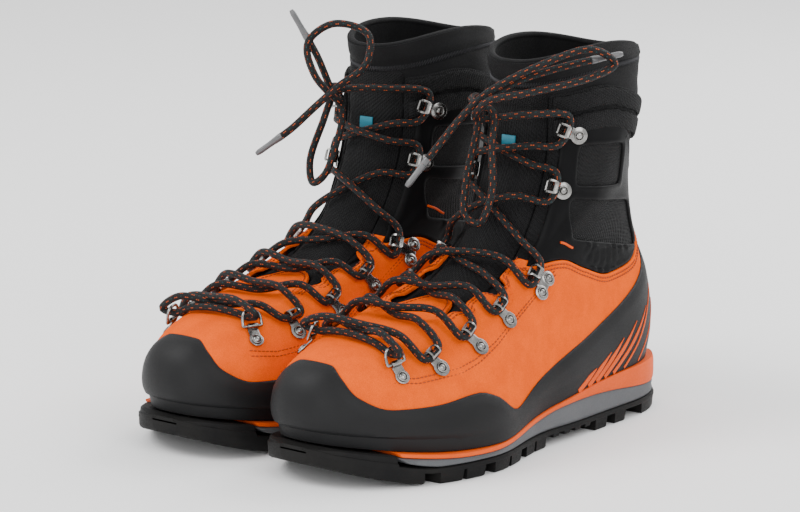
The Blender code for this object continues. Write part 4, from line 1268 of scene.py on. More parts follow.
    def nearest(self, points: Array, step: float) -> tuple:
        """Even points on the form under a line in space."""
        line = spaced(points, step)
        hits = [TREE.find_nearest(Vector(p)) for p in line]
        base = np.array([h[0] for h in hits])
        normal = np.array([h[1] for h in hits])
        inner = base * (0.2, 0.6, 0.6) + (0, 20, 20)
        normal *= np.sign((normal * (base - inner)).sum(-1, keepdims=True))
        return base, normal, unit(np.gradient(base, axis=0))

    def facing_row(self, sign: int, inset: float) -> tuple:
        """A stitched row beside the opening."""
        y = np.linspace(-60, 12, 160)
        z = np.interp(y, (-60, -34, -5, 17), (84, 90, 106, 130))
        x = sign * (eased_line(self.tabs, y) + inset)
        return self.nearest(np.stack([x, y, z], -1), 3.1)

    def flap_row(self) -> tuple:
        """A stitched row round the throat flap."""
        x = np.linspace(-19, 19, 60)
        y = self.throat - 3.0 - self.slot_depth * np.clip(np.abs(x) / (self.opening - 2.5), 0, 1) ** 2.6
        return self.nearest(np.stack([x, y, np.interp(y, (-66, -34), (84, 92))], -1), 2.6)

    def build(self, side: Side, built: dict) -> None:
        """Make the upper's shells, stitches and trims.

        Args:
            side: which boot.
            built: shells already worked out, by name, which both boots share.
        """
        for name, shell, finish, slot, nodes in self.shells():
            if name not in built:
                built[name] = shell.build()
            points, faces, edge, cloth = built[name]
            obj = piece(name, side, points, faces, finish, slot, nodes, edge, cloth)
        points, faces = self.collar_pad(built)
        run = np.degrees(np.arctan2(points[:, 0], 80 - points[:, 1])) * 0.8
        cloth = np.stack([run, points[:, 2]], -1) * MM
        pad = piece("collar_pad", side, points, faces, MESH, "shell_mesh", cloth=cloth, sharp=180)
        self.stitch(side)
        self.trims(side)

    def collar_pad(self, built: dict) -> tuple:
        """Points and faces of the collar's two padded rolls, swelled as filled cloth once for both boots."""
        if "collar_pad" not in built:
            rolls, down = [], beyond(self.collar)
            for top, tall in ((1.0, 12.0), (14.0, 12.5)):
                roll = Shell((lambda s, d=down, t=top: d(s) - t, lambda s, d=down, t=top + tall: t - d(s),
                              lambda s: s.y - 42), (-0.6, 2.6), 1.4)
                rolls.append(swelled(*roll.build()[:2]))
            built["collar_pad"] = joined(rolls)
        return built["collar_pad"]

    def stitch(self, side: Side) -> None:
        """Sew the suede and the cuff."""
        tool = stitch_tool()
        points, lift, ahead = (np.concatenate(part) for part in zip(*self.seams()))
        seam = tool.run("suede_stitching", side, points + lift * 2.15, lift, ahead, SUEDE_EDGE,
                        Length=2.5 * MM, Thread=0.38 * MM)
        dressed(seam, side, SUEDE_EDGE)
        angle = np.linspace(-176, 176, 520)
        zig = np.where(np.arange(520) % 2 == 0, 0.0, 0.16)
        v = 11.05 + zig
        line, normal = FORM.point(angle, v), FORM.normal(angle, v)
        run = thread_tool().run("cuff_zigzag", side, line - normal * 0.95, normal, normal, PALE_THREAD,
                                edges=[(k, k + 1) for k in range(519)], Thread=0.3 * MM)
        dressed(run, side, PALE_THREAD)

    def trims(self, side: Side) -> None:
        """Hem tube, heel pull, heel stripes, side piping and tongue tab."""
        angle = np.linspace(-180, 180, 181)[:-1]
        rim = FORM.point(angle, np.full(180, 11.97)) - FORM.normal(angle, np.full(180, 11.97)) * 2.9
        points, faces, cloth = tube(rim, 2.1, 10, closed=True)
        piece("cuff_hem", side, points, faces, KNIT, "cuff_knit", cloth=cloth * (MM, 0.0132))
        z = np.linspace(138, 190, 30)
        stand = 3.2 + 2.2 * np.sin(np.pi * (z - 138) / 52)
        back = np.interp(z, (128, 150, 169, 185, 198), (137, 134, 133, 134, 135)) + stand
        centre = np.stack([np.zeros(30), back, z], -1)
        self.ribbon("heel_pull", side, centre, np.tile((1.0, 0, 0), (30, 1)), np.full(30, 9.0), 1.5, WEBBING,
                    "webbing", ("pull_strap",))
        self.stripes(side)
        for flank, line in ((Flank.OUTER, ((36, 120.6), (47, 115.4))),
                            (Flank.INNER, ((47, 127.9), (63, 120.6)))):
            ends = np.array([(flank.value * 40, y, z) for y, z in line], float)
            path = self.nearest(ends, 1.0)
            bar = tube(path[0] + path[1] * 1.9, 0.75, 8)
            piece(f"side_piping_{flank.word}", side, bar[0], bar[1], BAND, "overlay")
        self.tab(side)

    def ribbon(self, name: str, side: Side, centre: Array, across: Array, half: Array, thick: float,
               finish: Finish, slot: str, nodes: Sequence[str] = ()) -> None:
        """A closed flat band along a line.

        Args:
            name: the piece's name.
            side: which boot.
            centre: its centre line.
            across: unit directions across it.
            half: its half width at each point.
            thick: its thickness.
            finish: what it is made of.
            slot: the record's slot.
            nodes: CAD nodes that it stands for.
        """
        ahead = unit(np.gradient(centre, axis=0))
        up = unit(np.cross(ahead, across))
        ring = ((-1, -0.5), (-0.97, 0.3), (-0.9, 0.5), (0, 0.56), (0.9, 0.5), (0.97, 0.3), (1, -0.5))
        points = np.concatenate([centre[k] + across[k] * half[k] * a + up[k] * thick * b
                                 for k in range(len(centre)) for a, b in ring]).reshape(-1, 3)
        size = len(ring)
        faces = []
        for k in range(len(centre) - 1):
            for m in range(size):
                n = (m + 1) % size
                faces.append([k * size + m, k * size + n, (k + 1) * size + n, (k + 1) * size + m])
        faces.append(list(range(size))[::-1])
        faces.append([(len(centre) - 1) * size + m for m in range(size)])
        run = np.repeat(np.arange(len(centre)) * 2.0, size)
        cloth = np.stack([np.tile([a * 9 for a, _ in ring], len(centre)), run], -1) * MM
        obj = piece(name, side, points, faces, finish, slot, nodes, cloth=cloth)
        outward(obj.data)

    def stripes(self, side: Side) -> None:
        """Raised orange stripes that fan up the heel rand from the band."""
        fan = (((41.5, 27.6), (52.5, 34.8), (61, 39.6), 1.9), ((52, 28.6), (65.4, 37.8), (77.5, 46.5), 1.9),
               ((61, 29.6), (78, 40.6), (92, 52.5), 1.8), ((70, 30.4), (90.5, 43.6), (108, 60), 1.6),
               ((80, 31), (103, 46), (123, 66.5), 1.3), ((92, 32), (117, 50), (134, 78), 0.8),
               ((110, 33), (128, 50), (139, 68), 0.55))
        for flank in Flank:
            for k, (low, middle, high, wide) in enumerate(fan):
                t = np.linspace(0, 1, 24)[:, None]
                a, b, c = (np.array((0.0, y, z)) for y, z in (low, middle, high))
                line = a * (1 - t) ** 2 + 2 * b * t * (1 - t) + c * t * t
                base, normal = [], []
                for _, y, z in line:
                    hit = TREE.ray_cast(Vector((flank.value * 90, y, z)), Vector((-flank.value, 0, 0)))
                    if hit[0] is not None and y < 143:
                        base.append(hit[0])
                        normal.append(hit[1] * (1 if hit[1].x * flank.value > 0 else -1))
                base, normal = np.array(base), np.array(normal)
                ahead = unit(np.gradient(base, axis=0))
                across = unit(np.cross(normal, ahead))
                t = np.linspace(0, 1, len(base))
                half = wide * np.clip(np.minimum(1.0, (1.02 - t) * 2.2), 0.08, 1)
                self.ribbon(f"heel_stripe_{flank.word}_{k + 1}", side, base + normal * 4.5, across, half, 0.7,
                            BAND, "rand_rubber")

    def tab(self, side: Side) -> None:
        """A small plain sewn tab on the tongue."""
        line = np.array([(x, 32, 178.5) for x in (-5.0, -2.5, 0, 2.5, 5.0)], float)
        base, normal, _ = self.nearest(line, 1.2)
        up = unit(np.cross(normal, np.tile((1.0, 0, 0), (len(base), 1))))
        self.ribbon("tongue_tab", side, base + normal * 2.6, up, np.full(len(base), 3.6), 0.7, PATCH,
                    "tongue_mesh")


def form_tree() -> BVHTree:
    """Search tree of the form."""
    return BVHTree.FromPolygons(GRID.point.reshape(-1, 3).tolist(), GRID.quads())


TREE = form_tree()


# ---- the sole ------------------------------------------------------------------------------------------
@dataclass(frozen=True)
class Sole:
    """The sole of one boot: lugged rubber, foam midsole, orange band and the inner boards."""

    tail: float = 156.0
    step: float = -122.0
    lug_height: float = 6.6
    base: float = 3.2
    toe_spring: float = 14.0
    pitch: float = 20.0
    lug: float = 13.0
    climbing_end: float = -108.0

    def edge(self, margin: float, y: Array, side: int) -> Array:
        """x of an outline margin mm wider than the form's lowest ring."""
        y = np.asarray(y, float)
        front, back = FORM.front[0][0] - margin - 3, FORM.back[0][0] + margin + 5.5
        s = np.clip((y - front) / (back - front), 0, 1)
        cap = rounded(s / 0.34 + 0.003, 2.4) * rounded((1 - s) / 0.20 + 0.003, 2.2)
        swing = -FORM.toe_swing * (1 - smooth(s / 0.45))
        return swing + side * (FORM.half_width(s, np.zeros_like(s), side > 0) + margin) * cap

    def ground(self, y: Array) -> Array:
        """Underside of the lugs."""
        toe = np.clip((-100 - y) / 56, 0, 1)
        heel = np.clip((y - self.tail) / 9 + 1, 0, 1)
        return self.toe_spring * toe ** 1.5 + 3 * heel * heel

    def base_top(self, y: Array) -> Array:
        """Top of the outsole's plate."""
        return self.ground(y) + self.lug_height + self.base

    def band_top(self, y: Array) -> Array:
        """Top of the orange band."""
        return FORM.edge_height(y) - 0.9

    def band_foot(self, y: Array) -> Array:
        """Foot of the orange band."""
        return self.band_top(y) - 2.6 - 13.0 * smooth((y - 15) / 135)

    def stations(self, start: float, end: float, count: int = 90) -> Array:
        """Stations closer together at both ends."""
        t = np.linspace(0, 1, count + 1)
        t = 0.85 * (1 - np.cos(np.pi * t)) / 2 + 0.15 * t
        return start + (end - start) * t

    def slab(self, y: Array, margin: float, low: Array, high: Array, profile: Sequence,
             lean: float = 0.0) -> tuple:
        """A closed slab with a shaped side.

        Args:
            y: stations.
            margin: how far its outline stands outside the form.
            low: its underside at each station.
            high: its top at each station.
            profile: (share of the height, inset) up its side.
            lean: how far its front end slopes back at the foot.

        Returns:
            Points and faces.
        """
        count, rows = len(y), len(profile)
        grid = np.empty((2, rows, count, 3))
        for m, (share, inset) in enumerate(profile):
            for k, sign in enumerate((-1, 1)):
                yy = y + lean * (1 - share) * (1 - (y - y[0]) / (y[-1] - y[0])) ** 6
                x, z = self.edge(margin - inset, yy, sign), low + (high - low) * share
                grid[k, m] = np.stack([x, yy, z], -1)
        faces = []

        def at(k: int, m: int, i: int) -> int:
            """Number of a point."""
            return (k * rows + m) * count + i

        for i in range(count - 1):
            for m in range(rows - 1):
                faces.append([at(1, m, i), at(1, m, i + 1), at(1, m + 1, i + 1), at(1, m + 1, i)])
                faces.append([at(0, m, i), at(0, m + 1, i), at(0, m + 1, i + 1), at(0, m, i + 1)])
            faces.append([at(0, 0, i), at(0, 0, i + 1), at(1, 0, i + 1), at(1, 0, i)])
            top = rows - 1
            faces.append([at(0, top, i), at(1, top, i), at(1, top, i + 1), at(0, top, i + 1)])
        for i, flip in ((0, 1), (count - 1, -1)):
            ring = [at(0, m, i) for m in range(rows)] + [at(1, m, i) for m in reversed(range(rows))]
            faces.append(ring[::-flip])
        return grid.reshape(-1, 3), faces

    def block(self, y0: float, y1: float, a: float, b: float, skew: float = 0.0, drop: float = 0.0) -> tuple:
        """One tapered lug between two stations and two shares of the width.

        Args:
            y0: its front.
            y1: its back.
            a: its share of the half width on one side.
            b: the same on the other side.
            skew: how far its outer end leads.
            drop: how far it stays above the ground.

        Returns:
            Points and faces.
        """
        def at(y: float, share: float) -> tuple:
            """A corner in plan."""
            left, right = (float(self.edge(6.0, y, sign)) for sign in (-1, 1))
            return ((left + right) / 2 + share * (right - left) / 2, y)

        plan = []
        for share, ys in ((a, np.linspace(y0, y1, 5)), (b, np.linspace(y1, y0, 5))):
            plan += [at(y + skew * abs(share), share) for y in ys]
        plan = np.array(plan)
        centre = plan.mean(0)
        rings = []
        for scale, rise in ((1.0, 8.6), (0.99, 6.4), (0.93, 1.0), (0.88, 0.25), (0.82, 0.0)):
            flat = centre + (plan - centre) * scale
            rings.append(np.column_stack([flat, self.ground(flat[:, 1]) + min(rise + drop, 8.9)]))
        count = len(plan)
        faces = [list(range(count))]
        for r in range(len(rings) - 1):
            for k in range(count):
                n = (k + 1) % count
                faces.append([r * count + k, (r + 1) * count + k, (r + 1) * count + n, r * count + n])
        faces.append([(len(rings) - 1) * count + k for k in reversed(range(count))])
        return np.concatenate(rings), faces

    def lugs(self) -> list:
        """Every lug behind the climbing zone."""
        found = []
        pairs = ((-101, -85.5), (-83.5, -69), (-61, -45.5), (-43.5, -29), (-21, -9), (-7, 5),
                 (57.5, 71), (80, 92), (111, 143))
        for start, end in pairs:
            for sign in (-1, 1):
                found.append(self.block(start, end, sign, sign * 0.6, 2.5))
        for y in list(np.arange(-97, 0, self.pitch)) + [62.0, 82.0, 102.0, 122.0]:
            for sign in (-1, 1):
                found.append(self.block(y, y + self.lug, sign * 0.52, sign * 0.26, -6.0, 0.4))
            found.append(self.block(y + 5, y + 5 + self.lug, -0.17, 0.17))
        for y in (14, 25, 36, 47):
            for sign in (-1, 1):
                found.append(self.block(y, y + 6, sign, sign * 0.72, 1.5, 4.6))
        found.append(self.block(146, 154, -0.95, -0.5))
        found.append(self.block(146, 154, 0.5, 0.95))
        found.append(self.block(144, 154.5, -0.42, 0.42))
        return found

    def build(self, side: Side) -> None:
        """Make the outsole, midsole, band, board, footbed and the arch's ribs."""
        soft = ((0, 1.2), (0.12, 0.25), (0.3, 0.0), (0.7, 0.0), (0.88, 0.25), (1, 1.2))
        plate_y = self.stations(-155.6, 155.6)
        parts = [self.slab(plate_y, 6.2, self.ground(plate_y) + self.lug_height,
                           self.base_top(plate_y), soft)]
        toe_y = self.stations(-155.8, self.climbing_end)
        low = self.ground(toe_y)
        parts.append(self.slab(toe_y, 6.2, low, low + self.lug_height + 1,
                               ((0, 2.0), (0.08, 0.8), (0.3, 0.1), (1, 0.0))))
        ledge_y = self.stations(-155.8, self.step)
        ledge = self.band_top(ledge_y) - 1.4
        parts.append(self.slab(ledge_y, 6.4, self.ground(ledge_y) + self.lug_height, ledge,
                               ((0, 0), (0.45, 0.1), (0.55, 0.9), (0.88, 1.3), (1, 2.4))))
        parts += self.lugs()
        obj = piece("lugged_outsole", side, *joined(parts), LUG_RUBBER, "rubber", ("outsole",), sharp=35)
        outward(obj.data)
        self.layers(side)

    def layers(self, side: Side) -> None:
        """Make everything between the outsole and the foot."""
        y = self.stations(self.step + 0.5, 149.0)
        waist = ((0, 0.9), (0.07, 0.3), (0.2, 0.0), (0.5, 0.5), (0.8, 0.0), (0.93, 0.3), (1, 0.9))
        foam = self.slab(y, 5.2, self.base_top(y) + 0.2, self.band_foot(y) - 0.15, waist, 7.0)
        piece("foam_midsole", side, *foam, GREY, "midsole_foam", ("midsole",), sharp=50)
        round_ = ((0, 0.7), (0.12, 0.15), (0.3, 0.0), (0.75, 0.0), (0.9, 0.25), (1, 0.8))
        band = self.slab(y, 5.9, self.band_foot(y), self.band_top(y), round_, 2.0)
        piece("orange_welt_band", side, *band, BAND, "welt_band", ("welt_band",), sharp=50)
        flat = ((0, 0.4), (0.3, 0.0), (1, 0.3))
        inner = self.stations(-135, 132)
        board = self.slab(inner, -9, FORM.edge_height(inner) - 0.4, FORM.edge_height(inner) + 1.8, flat)
        piece("fibre_lasting_board", side, *board, BOARD, "board", ("lasting_board",))
        bed = self.slab(inner * 0.995, -10, FORM.edge_height(inner) + 2.1, FORM.edge_height(inner) + 6.5,
                        flat)
        piece("felt_footbed", side, *bed, FELT, "footbed_felt", ("footbed",))


# ---- fittings ------------------------------------------------------------------------------------------
@dataclass(frozen=True)
class Seat:
    """Where a fitting sits: a along the facing, c towards its rivet, n outwards, reach to the rivet."""

    origin: Array
    a: Array
    c: Array
    n: Array
    reach: float

    @staticmethod
    def at(entry: tuple, height: float) -> "Seat":
        """The seat of a fitting whose rivet and loop are at (angle, v, loop angle, loop v)."""
        foot, loop = FORM.point(entry[0], entry[1]), FORM.point(entry[2], entry[3])
        n = unit(FORM.normal(entry[0], entry[1]) + FORM.normal(entry[2], entry[3]))
        c = foot - loop
        reach = float(np.linalg.norm(c))
        c = unit(c - n * c.dot(n))
        return Seat(loop + n * height, np.cross(c, n), c, n, max(reach, 8.6))

    def place(self, points: Array) -> Array:
        """Points given as (a, c, n) in the boot's frame."""
        points = np.asarray(points, float)
        return self.origin + points[:, :1] * self.a + points[:, 1:2] * self.c + points[:, 2:] * self.n


class Kind(Enum):
    """The fittings of one facing, from the toe up."""

    RING = ((41, 2.05, 37, 2.5), (-37, 2.4, -32, 2.9))
    EYELET_A = ((54, 2.2, 49, 2.65), (-53, 2.5, -47, 3.1))
    EYELET_B = ((67, 2.6, 60, 3.2), (-69, 2.8, -61, 3.5))
    EYELET_C = ((77, 3.15, 69, 3.85), (-81, 3.3, -71, 4.2))
    LOCK_HOOK = ((89, 3.85, 76, 4.9), (-94, 3.95, -76, 5.2))
    CUFF_HOOK_A = ((53, 8.2, 37, 8.5), (-57, 8.3, -41, 8.6))
    CUFF_HOOK_B = ((54, 9.4, 38, 9.7), (-58, 9.5, -42, 9.8))

    def entry(self, flank: Flank) -> tuple:
        """Where this fitting sits on one flank."""
        return self.value[0 if flank is Flank.OUTER else 1]

    @property
    def word(self) -> str:
        """The fitting's name."""
        return self.name.lower()


def plate(path: Array, half: Array, thick: float, hole: tuple | None = None, across: int = 9) -> tuple:
    """A bent plate along a path in (c, n), with a width at each point and an optional window.

    Args:
        path: points of its middle line.
        half: half its width at each point.
        thick: its thickness.
        hole: first and last point and share of the width of the window.
        across: points across it.

    Returns:
        Points as (a, c, n) and faces.
    """
    path = np.asarray(path, float)
    ahead = unit(np.gradient(path, axis=0))
    left = np.stack([-ahead[:, 1], ahead[:, 0]], -1)
    share = np.sin(np.linspace(-np.pi / 2, np.pi / 2, across))
    count = len(path)
    points = []
    for side in (0.5, -0.5):
        for k in range(count):
            for s in share:
                crown = thick * side * (1 - 0.35 * abs(s) ** 6)
                c, n = path[k] + left[k] * crown
                points.append((half[k] * s, c, n))
    full = count * across
    rings = []
    for k in range(count - 1):
        for m in range(across - 1):
            if hole and hole[0] <= k < hole[1] and abs(share[m] + share[m + 1]) / 2 < hole[2]:
                continue
            rings.append([k * across + m, k * across + m + 1, (k + 1) * across + m + 1, (k + 1) * across + m])
    faces = [face for ring in rings for face in (ring, [n + full for n in reversed(ring)])]
    faces += [[b, a, a + full, b + full] for a, b in open_edges(rings)]
    return np.array(points), faces


@dataclass(frozen=True)
class Fittings:
    """The nickel fittings of one boot."""

    metal: float = 0.9
    lift: float = 0.3 + 1.9 + 0.55  # over the gap and the leather
    cuff_lift: float = 0.3 + 1.3 + 0.55  # over the gap and the overlay
    lace_room: float = 3.2
    hook_room: float = 6.6
    width: float = 8.4
    ring_wire: float = 0.95
    ring_length: float = 9.5
    ring_width: float = 12.0
    ring_lean: float = 0.55

    def half_of(self, c: Array, lobe: float, radius: float, neck: float) -> Array:
        """Half width of a plate with a round lobe about c = lobe."""
        circle = np.sqrt(np.maximum(radius ** 2 - (c - lobe) ** 2, 0.05))
        return np.where(c > lobe, circle, np.maximum(circle, neck))

    def fold(self, room: float, reach: float, radius: float) -> tuple[Array, Array]:
        """Path and half widths of a plate that folds into a tunnel."""
        flat = np.concatenate([reach + radius * np.cos(np.linspace(0, np.pi / 2, 8)),
                               np.linspace(reach, 1.0, 9)[1:]])
        turn = np.radians(-90 - np.linspace(0, 292, 19))
        bend = np.stack([room * np.cos(turn), self.metal + room + room * np.sin(turn)], -1)
        path = np.concatenate([np.stack([flat, np.full(len(flat), self.metal)], -1), bend])
        half = np.concatenate([self.half_of(flat, reach, radius, 3.4), np.full(19, self.width / 2)])
        half[15:18] = (3.5, 3.8, 4.1)
        return path, half

    def eyelet(self, kind: Kind, flank: Flank, side: Side, rivets: list) -> Seat:
        """A riveted plate folded round the lace, with a window in its tunnel."""
        seat = Seat.at(kind.entry(flank), self.lift)
        path, half = self.fold(self.lace_room, seat.reach, 5.2)
        points, faces = plate(path, half, self.metal, (22, 29, 0.55))
        self.finish(f"{kind.word}_{flank.word}", side, seat, points, faces)
        rivets.append((seat.place([(0, seat.reach, self.metal * 1.5)])[0], seat.n, seat.c))
        return seat

    def finish(self, name: str, side: Side, seat: Seat, points: Array, faces: list) -> None:
        """Write a plate, with its faces turned outwards."""
        obj = piece(f"nickel_{name}", side, seat.place(points), faces, NICKEL, "hardware_metal", (name,),
                    sharp=38)
        outward(obj.data)

    def hook(self, kind: Kind, flank: Flank, side: Side, rivets: list) -> Seat:
        """A plate on one or two rivets, turned up and back over the lace."""
        locking = kind is Kind.LOCK_HOOK
        seat = Seat.at(kind.entry(flank), self.lift if locking else self.cuff_lift)
        roof = self.metal + self.hook_room
        bend = np.array([(0.8, self.metal), (-0.8, self.metal + 0.4), (-1.7, self.metal + 1.7),
                         (-1.9, self.metal + 3.4), (-1.7, roof - 1.4), (-1.0, roof - 0.3), (0.2, roof),
                         (1.8, roof + 0.1), (3.4, roof + 0.5), (4.2, roof + 1.0)])
        flat = np.linspace(seat.reach, 2.2, 7)
        path = np.concatenate([np.stack([flat, np.full(7, self.metal)], -1), bend])
        half = np.concatenate([np.linspace(3.0, 4.2, 7), np.full(7, 4.2), (4.1, 3.8, 3.1)])
        lobes = (-5.4, 5.4) if locking else (0.0,)
        radius = 4.7 if locking else 5.3
        out = seat.reach + (1.0 if locking else 0.0)
        parts = [plate(path, half, self.metal, (9, 14, 0.62))]
        for lobe in lobes:
            parts.append(self.disc(radius, lobe, out))
            rivets.append((seat.place([(lobe, out, self.metal * 1.5)])[0], seat.n, seat.c))
        if locking:
            points, faces = self.disc(4.2, 0.0, seat.reach - 0.6)
            parts.append((points * (1.25, 1, 0.96), faces))
        self.finish(f"{kind.word}_{flank.word}", side, seat, *joined(parts))
        return seat

    def disc(self, radius: float, a: float, c: float) -> tuple:
        """A flat round lobe of a plate with soft rims."""
        turn = np.linspace(0, 2 * np.pi, 28, endpoint=False)
        rings = [(radius - 0.3, 0.5), (radius, 0.75), (radius, 1.25), (radius - 0.3, 1.5)]
        points = [np.stack([a + r * np.cos(turn), c + r * np.sin(turn), np.full(28, self.metal * n)], -1)
                  for r, n in rings]
        faces = [list(range(28))[::-1], list(range(84, 112))]
        for k in range(3):
            faces += [[k * 28 + m, k * 28 + (m + 1) % 28, (k + 1) * 28 + (m + 1) % 28, (k + 1) * 28 + m]
                      for m in range(28)]
        return np.concatenate(points), faces

    def ring(self, flank: Flank, side: Side, rivets: list) -> Seat:
        """A clip with a domed tab round the bar of a wire D-ring, which turns about that bar."""
        seat = Seat.at(Kind.RING.entry(flank), self.lift)
        room = self.ring_wire + 0.45
        path, half = self.fold(room, seat.reach, 4.4)
        half[15:] = 3.3
        points, faces = plate(path, np.minimum(half, 4.4), self.metal)
        self.finish(f"dring_{flank.word}_clip", side, seat, points, faces)
        rivets.append((seat.place([(0, seat.reach, self.metal * 1.5)])[0], seat.n, seat.c))
        pivot = seat.origin + seat.n * (self.metal + room)
        lean = unit(seat.n * self.ring_lean - seat.c)
        half_ring = self.ring_width / 2
        turn = np.linspace(0, np.pi, 25)
        bow = pivot + seat.a * (half_ring * np.sign(np.cos(turn)) * np.abs(np.cos(turn)) ** 0.7)[:, None] \
            + lean * (self.ring_length * (0.22 + 0.78 * np.sin(turn) ** 0.8))[:, None]
        bar = pivot + seat.a * np.linspace(-half_ring, half_ring, 12)[:, None]
        line = curved(np.concatenate([bow, bar]), 0.8, closed=True)
        points, faces, _ = tube(line, self.ring_wire, 10, closed=True)
        name = f"dring_{flank.word}_ring"
        piece(f"wire_{name}", side, points, faces, NICKEL, "hardware_metal", (name,),
              body=f"{side.word}_{flank.word}_ring")
        top = pivot + lean * (self.ring_length - self.ring_wire - 2.3 - 0.4)
        return Seat(top, seat.a, seat.c, seat.n, seat.reach)

    def build(self, side: Side) -> dict:
        """Make every fitting of a boot.

        Args:
            side: which boot.

        Returns:
            The seat at which the lace meets each one, by kind and flank.
        """
        seats, rivets = {}, []
        for kind in Kind:
            for flank in Flank:
                if kind is Kind.RING:
                    seats[kind, flank] = self.ring(flank, side, rivets)
                elif kind.word.startswith("eyelet"):
                    seats[kind, flank] = self.eyelet(kind, flank, side, rivets)
                else:
                    seats[kind, flank] = self.hook(kind, flank, side, rivets)
        points, lift, ahead = (np.array(rows) for rows in zip(*rivets))
        heads = rivet_tool().run("rivets", side, points, lift, ahead, NICKEL)
        dressed(heads, side, NICKEL)
        return seats


# ---- the lace --------------------------------------------------------------------------------------------
@dataclass(frozen=True)
class Lacing:
    """One round braided lace, from one hanging end through every fitting to the other."""

    diameter: float = 4.6
    bows: tuple = (
        (((-22, 22, 203), (-8, 10, 203), (6, 9, 199), (10, 3, 180), (14, -2, 152), (8, -6, 134),
          (-3, -6, 138), (-6, -1, 160), (-3, 5, 188), (4, 1, 204), (22, 8, 218), (44, 30, 228),
          (56, 52, 232)),
         ((24, 22, 198), (10, 14, 196), (-2, 3, 195), (14, -6, 208), (36, 6, 214), (58, 38, 222),
          (64, 52, 229), (56, 40, 238), (34, 14, 228), (10, -2, 212), (-8, -4, 196), (-18, -12, 180),
          (-26, -22, 164))),
        (((-22, 22, 203), (-8, 10, 203), (6, 9, 199), (10, 1, 180), (16, -4, 156), (10, -8, 144),
          (0, -8, 150), (-4, -2, 168), (-3, 5, 188), (4, 1, 205), (6, -8, 224), (12, -16, 242)),
         ((24, 22, 198), (10, 14, 196), (-2, 3, 195), (4, -12, 212), (8, -14, 232), (-4, -4, 244),
          (-22, 8, 238), (-24, 4, 220), (-10, -6, 206), (10, -8, 190), (20, -16, 178), (32, -22, 168))))

    @property
    def lowest(self) -> float:
        """Height over the form of a run that lies on the suede."""
        return 2.2 + self.diameter / 2 + 1.6

    def across(self, start: tuple, end: tuple, lifts: Sequence[float]) -> list:
        """Three points over the boot between two places (point, normal), at heights above the form."""
        direction = -unit(start[1] + end[1])
        points = []
        for share, lift in zip((0.18, 0.5, 0.82), lifts):
            q = start[0] + (end[0] - start[0]) * share
            hit = TREE.ray_cast(Vector(q - direction * 60), Vector(direction))[0]
            points.append(np.array(hit) - direction * lift)
        return points

    def through(self, kind: Kind, seat: Seat) -> list:
        """The straight pass of the lace through a fitting."""
        upward = seat.a if seat.a[2] + seat.a[1] > 0 else -seat.a
        if kind is Kind.RING:
            over = unit(seat.n + seat.c * 0.55)
            return [seat.origin - over * 3.6, seat.origin + over * 7.2]
        if kind.word.startswith("eyelet"):
            centre, reach = seat.origin + seat.n * 4.0, 6.7
        else:
            centre, reach = seat.origin + seat.n * 4.1 + seat.c * 1.9, 8.7
        return [centre - upward * reach, centre + upward * reach]

    def climb(self, seats: dict, first: Flank) -> list:
        """From a D-ring up to the last hook, changing sides at each step."""
        low = self.lowest
        points, flank, kinds = [], first, list(Kind)
        for k, kind in enumerate(kinds):
            here = self.through(kind, seats[kind, flank])
            if k:
                lift = low + (self.diameter + 0.7 if flank is Flank.OUTER else 0)
                side_lift = lift * 0.5 + 5.5
                lifts = (6.6 + 2 * self.diameter if k == 1 else side_lift, lift, side_lift)
                last = (points[-1], seats[kinds[k - 1], flank.other].n)
                points += self.across(last, (here[0], seats[kind, flank].n), lifts)
            points += here
            flank = flank.other
        return points

    def build(self, side: Side, seats: dict) -> None:
        """Make the lace and its two tips.

        Args:
            side: which boot.
            seats: where the lace meets each fitting.
        """
        outer, inner = self.climb(seats, Flank.OUTER), self.climb(seats, Flank.INNER)
        low = self.lowest
        bar = self.across((inner[0], seats[Kind.RING, Flank.INNER].n),
                          (outer[0], seats[Kind.RING, Flank.OUTER].n), (low - 0.2, low + 0.5, low - 0.2))
        bows = [np.array(points, float) for points in self.bows[0 if side is Side.LEFT else 1]]
        if outer[-1][0] > 0:
            bows.reverse()
        route = np.concatenate([bows[0][::-1], outer[::-1], bar[::-1], inner, bows[1]])
        line = curved(route, 1.6)
        radius = np.full(len(line), self.diameter / 2)
        taper = np.clip(np.minimum(np.arange(len(line)), np.arange(len(line))[::-1]) * 1.6 / 6, 0, 1)
        radius = radius * (0.72 + 0.28 * smooth(taper))
        points, faces, cloth = tube(line, radius, 12)
        cloth = np.stack([cloth[:, 0] * MM, cloth[:, 1]], -1)
        lace = piece("braided_lace", side, points, faces, CORD, "lace_cord", ("lace",), cloth=cloth, sharp=80)
        self.unwrap(lace)
        for name, end, back in (("first", line[0], line[4]), ("second", line[-1], line[-5])):
            out = unit(end - back)
            path = end + out * np.linspace(-9, 12, 15)[:, None]
            size = np.array([2.35, 2.45, 2.4] + [2.2] * 2 + [2.0] * 2 + [1.9] * 6 + [1.75, 1.3])
            bar_ = tube(path, size, 12)
            piece(f"lace_tip_{name}", side, bar_[0], bar_[1], AGLET, "lace_cord")
        path = placed(line, side)

    def unwrap(self, lace: bpy.types.Object) -> None:
        """Carry the share round past one where the section closes, so that the braid has no seam."""
        layer = lace.data.uv_layers["cloth"].data
        for polygon in lace.data.polygons:
            loops = list(polygon.loop_indices)
            shares = [layer[i].uv[1] for i in loops]
            if max(shares) - min(shares) > 0.5 and len(loops) == 4:
                for i in loops:
                    if layer[i].uv[1] < 0.5:
                        layer[i].uv[1] += 1.0


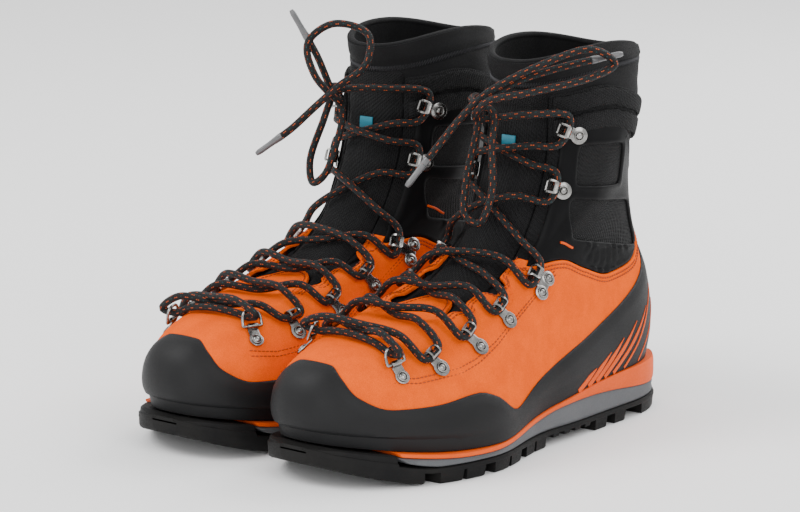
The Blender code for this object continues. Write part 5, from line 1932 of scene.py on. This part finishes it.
# ---- studio ------------------------------------------------------------------------------------------------
@dataclass(frozen=True)
class Studio:
    """Camera, floor and soft light."""

    azimuth: float = 41.1
    elevation: float = 10.95
    distance: float = 2.016
    target: tuple = (-0.0025, 0.0, 0.1045)
    lens: float = 147.8

    def build(self) -> None:
        """Place the camera, the floor, the lights and the world."""
        scene = bpy.context.scene
        for obj in list(bpy.data.objects):
            if obj.type in ("CAMERA", "LIGHT"):
                bpy.data.objects.remove(obj)
        az, el = math.radians(self.azimuth), math.radians(self.elevation)
        back = Vector((math.sin(az) * math.cos(el), -math.cos(az) * math.cos(el), math.sin(el)))
        camera = bpy.data.objects.new("camera", bpy.data.cameras.new("camera"))
        camera.data.lens, camera.data.sensor_width = self.lens, 36.0
        camera.location = Vector(self.target) + back * self.distance
        camera.rotation_euler = back.to_track_quat("Z", "Y").to_euler()
        scene.collection.objects.link(camera)
        scene.camera = camera
        self.floor()
        self.lamp("key", (-1.3, -1.6, 2.2), 1.4, 52)
        self.lamp("fill", (2.2, -0.6, 1.5), 1.4, 24)
        self.lamp("front", (0.9, -2.4, 0.7), 1.2, 16)
        self.lamp("rim", (0.2, 1.8, 1.6), 1.6, 36)
        world = bpy.data.worlds.new("studio")
        world.use_nodes = True
        world.node_tree.nodes["Background"].inputs[0].default_value = (1, 1, 1, 1)
        world.node_tree.nodes["Background"].inputs[1].default_value = 1.15
        scene.world = world

    def floor(self) -> None:
        """A wide plain pale floor."""
        data = bpy.data.meshes.new("floor")
        data.from_pydata([(-9, -9, 0), (9, -9, 0), (9, 9, 0), (-9, 9, 0)], [], [[0, 1, 2, 3]])
        floor = bpy.data.objects.new("floor", data)
        bpy.context.scene.collection.objects.link(floor)
        paint, _, shader = started("pale_floor")
        shader.inputs["Base Color"].default_value = (0.98, 0.98, 0.98, 1)
        shader.inputs["Roughness"].default_value = 0.7
        data.materials.append(paint)

    def lamp(self, name: str, place: tuple, size: float, power: float) -> None:
        """A square soft light aimed at the boots."""
        data = bpy.data.lights.new(name, "AREA")
        data.size, data.energy = size, power
        obj = bpy.data.objects.new(name, data)
        obj.location = place
        obj.rotation_euler = (Vector(place) - Vector((0, 0, 0.1))).to_track_quat("Z", "Y").to_euler()
        bpy.context.scene.collection.objects.link(obj)


def main() -> None:
    """Load the frame, then build the studio and both boots in order."""
    logging.basicConfig(level=logging.INFO, format="%(message)s")
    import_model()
    Studio().build()
    built: dict = {}
    for side in Side:
        seats = Fittings().build(side)
        Lacing().build(side, seats)
        Upper().build(side, built)
        Sole().build(side)


if __name__ == "__main__":
    main()
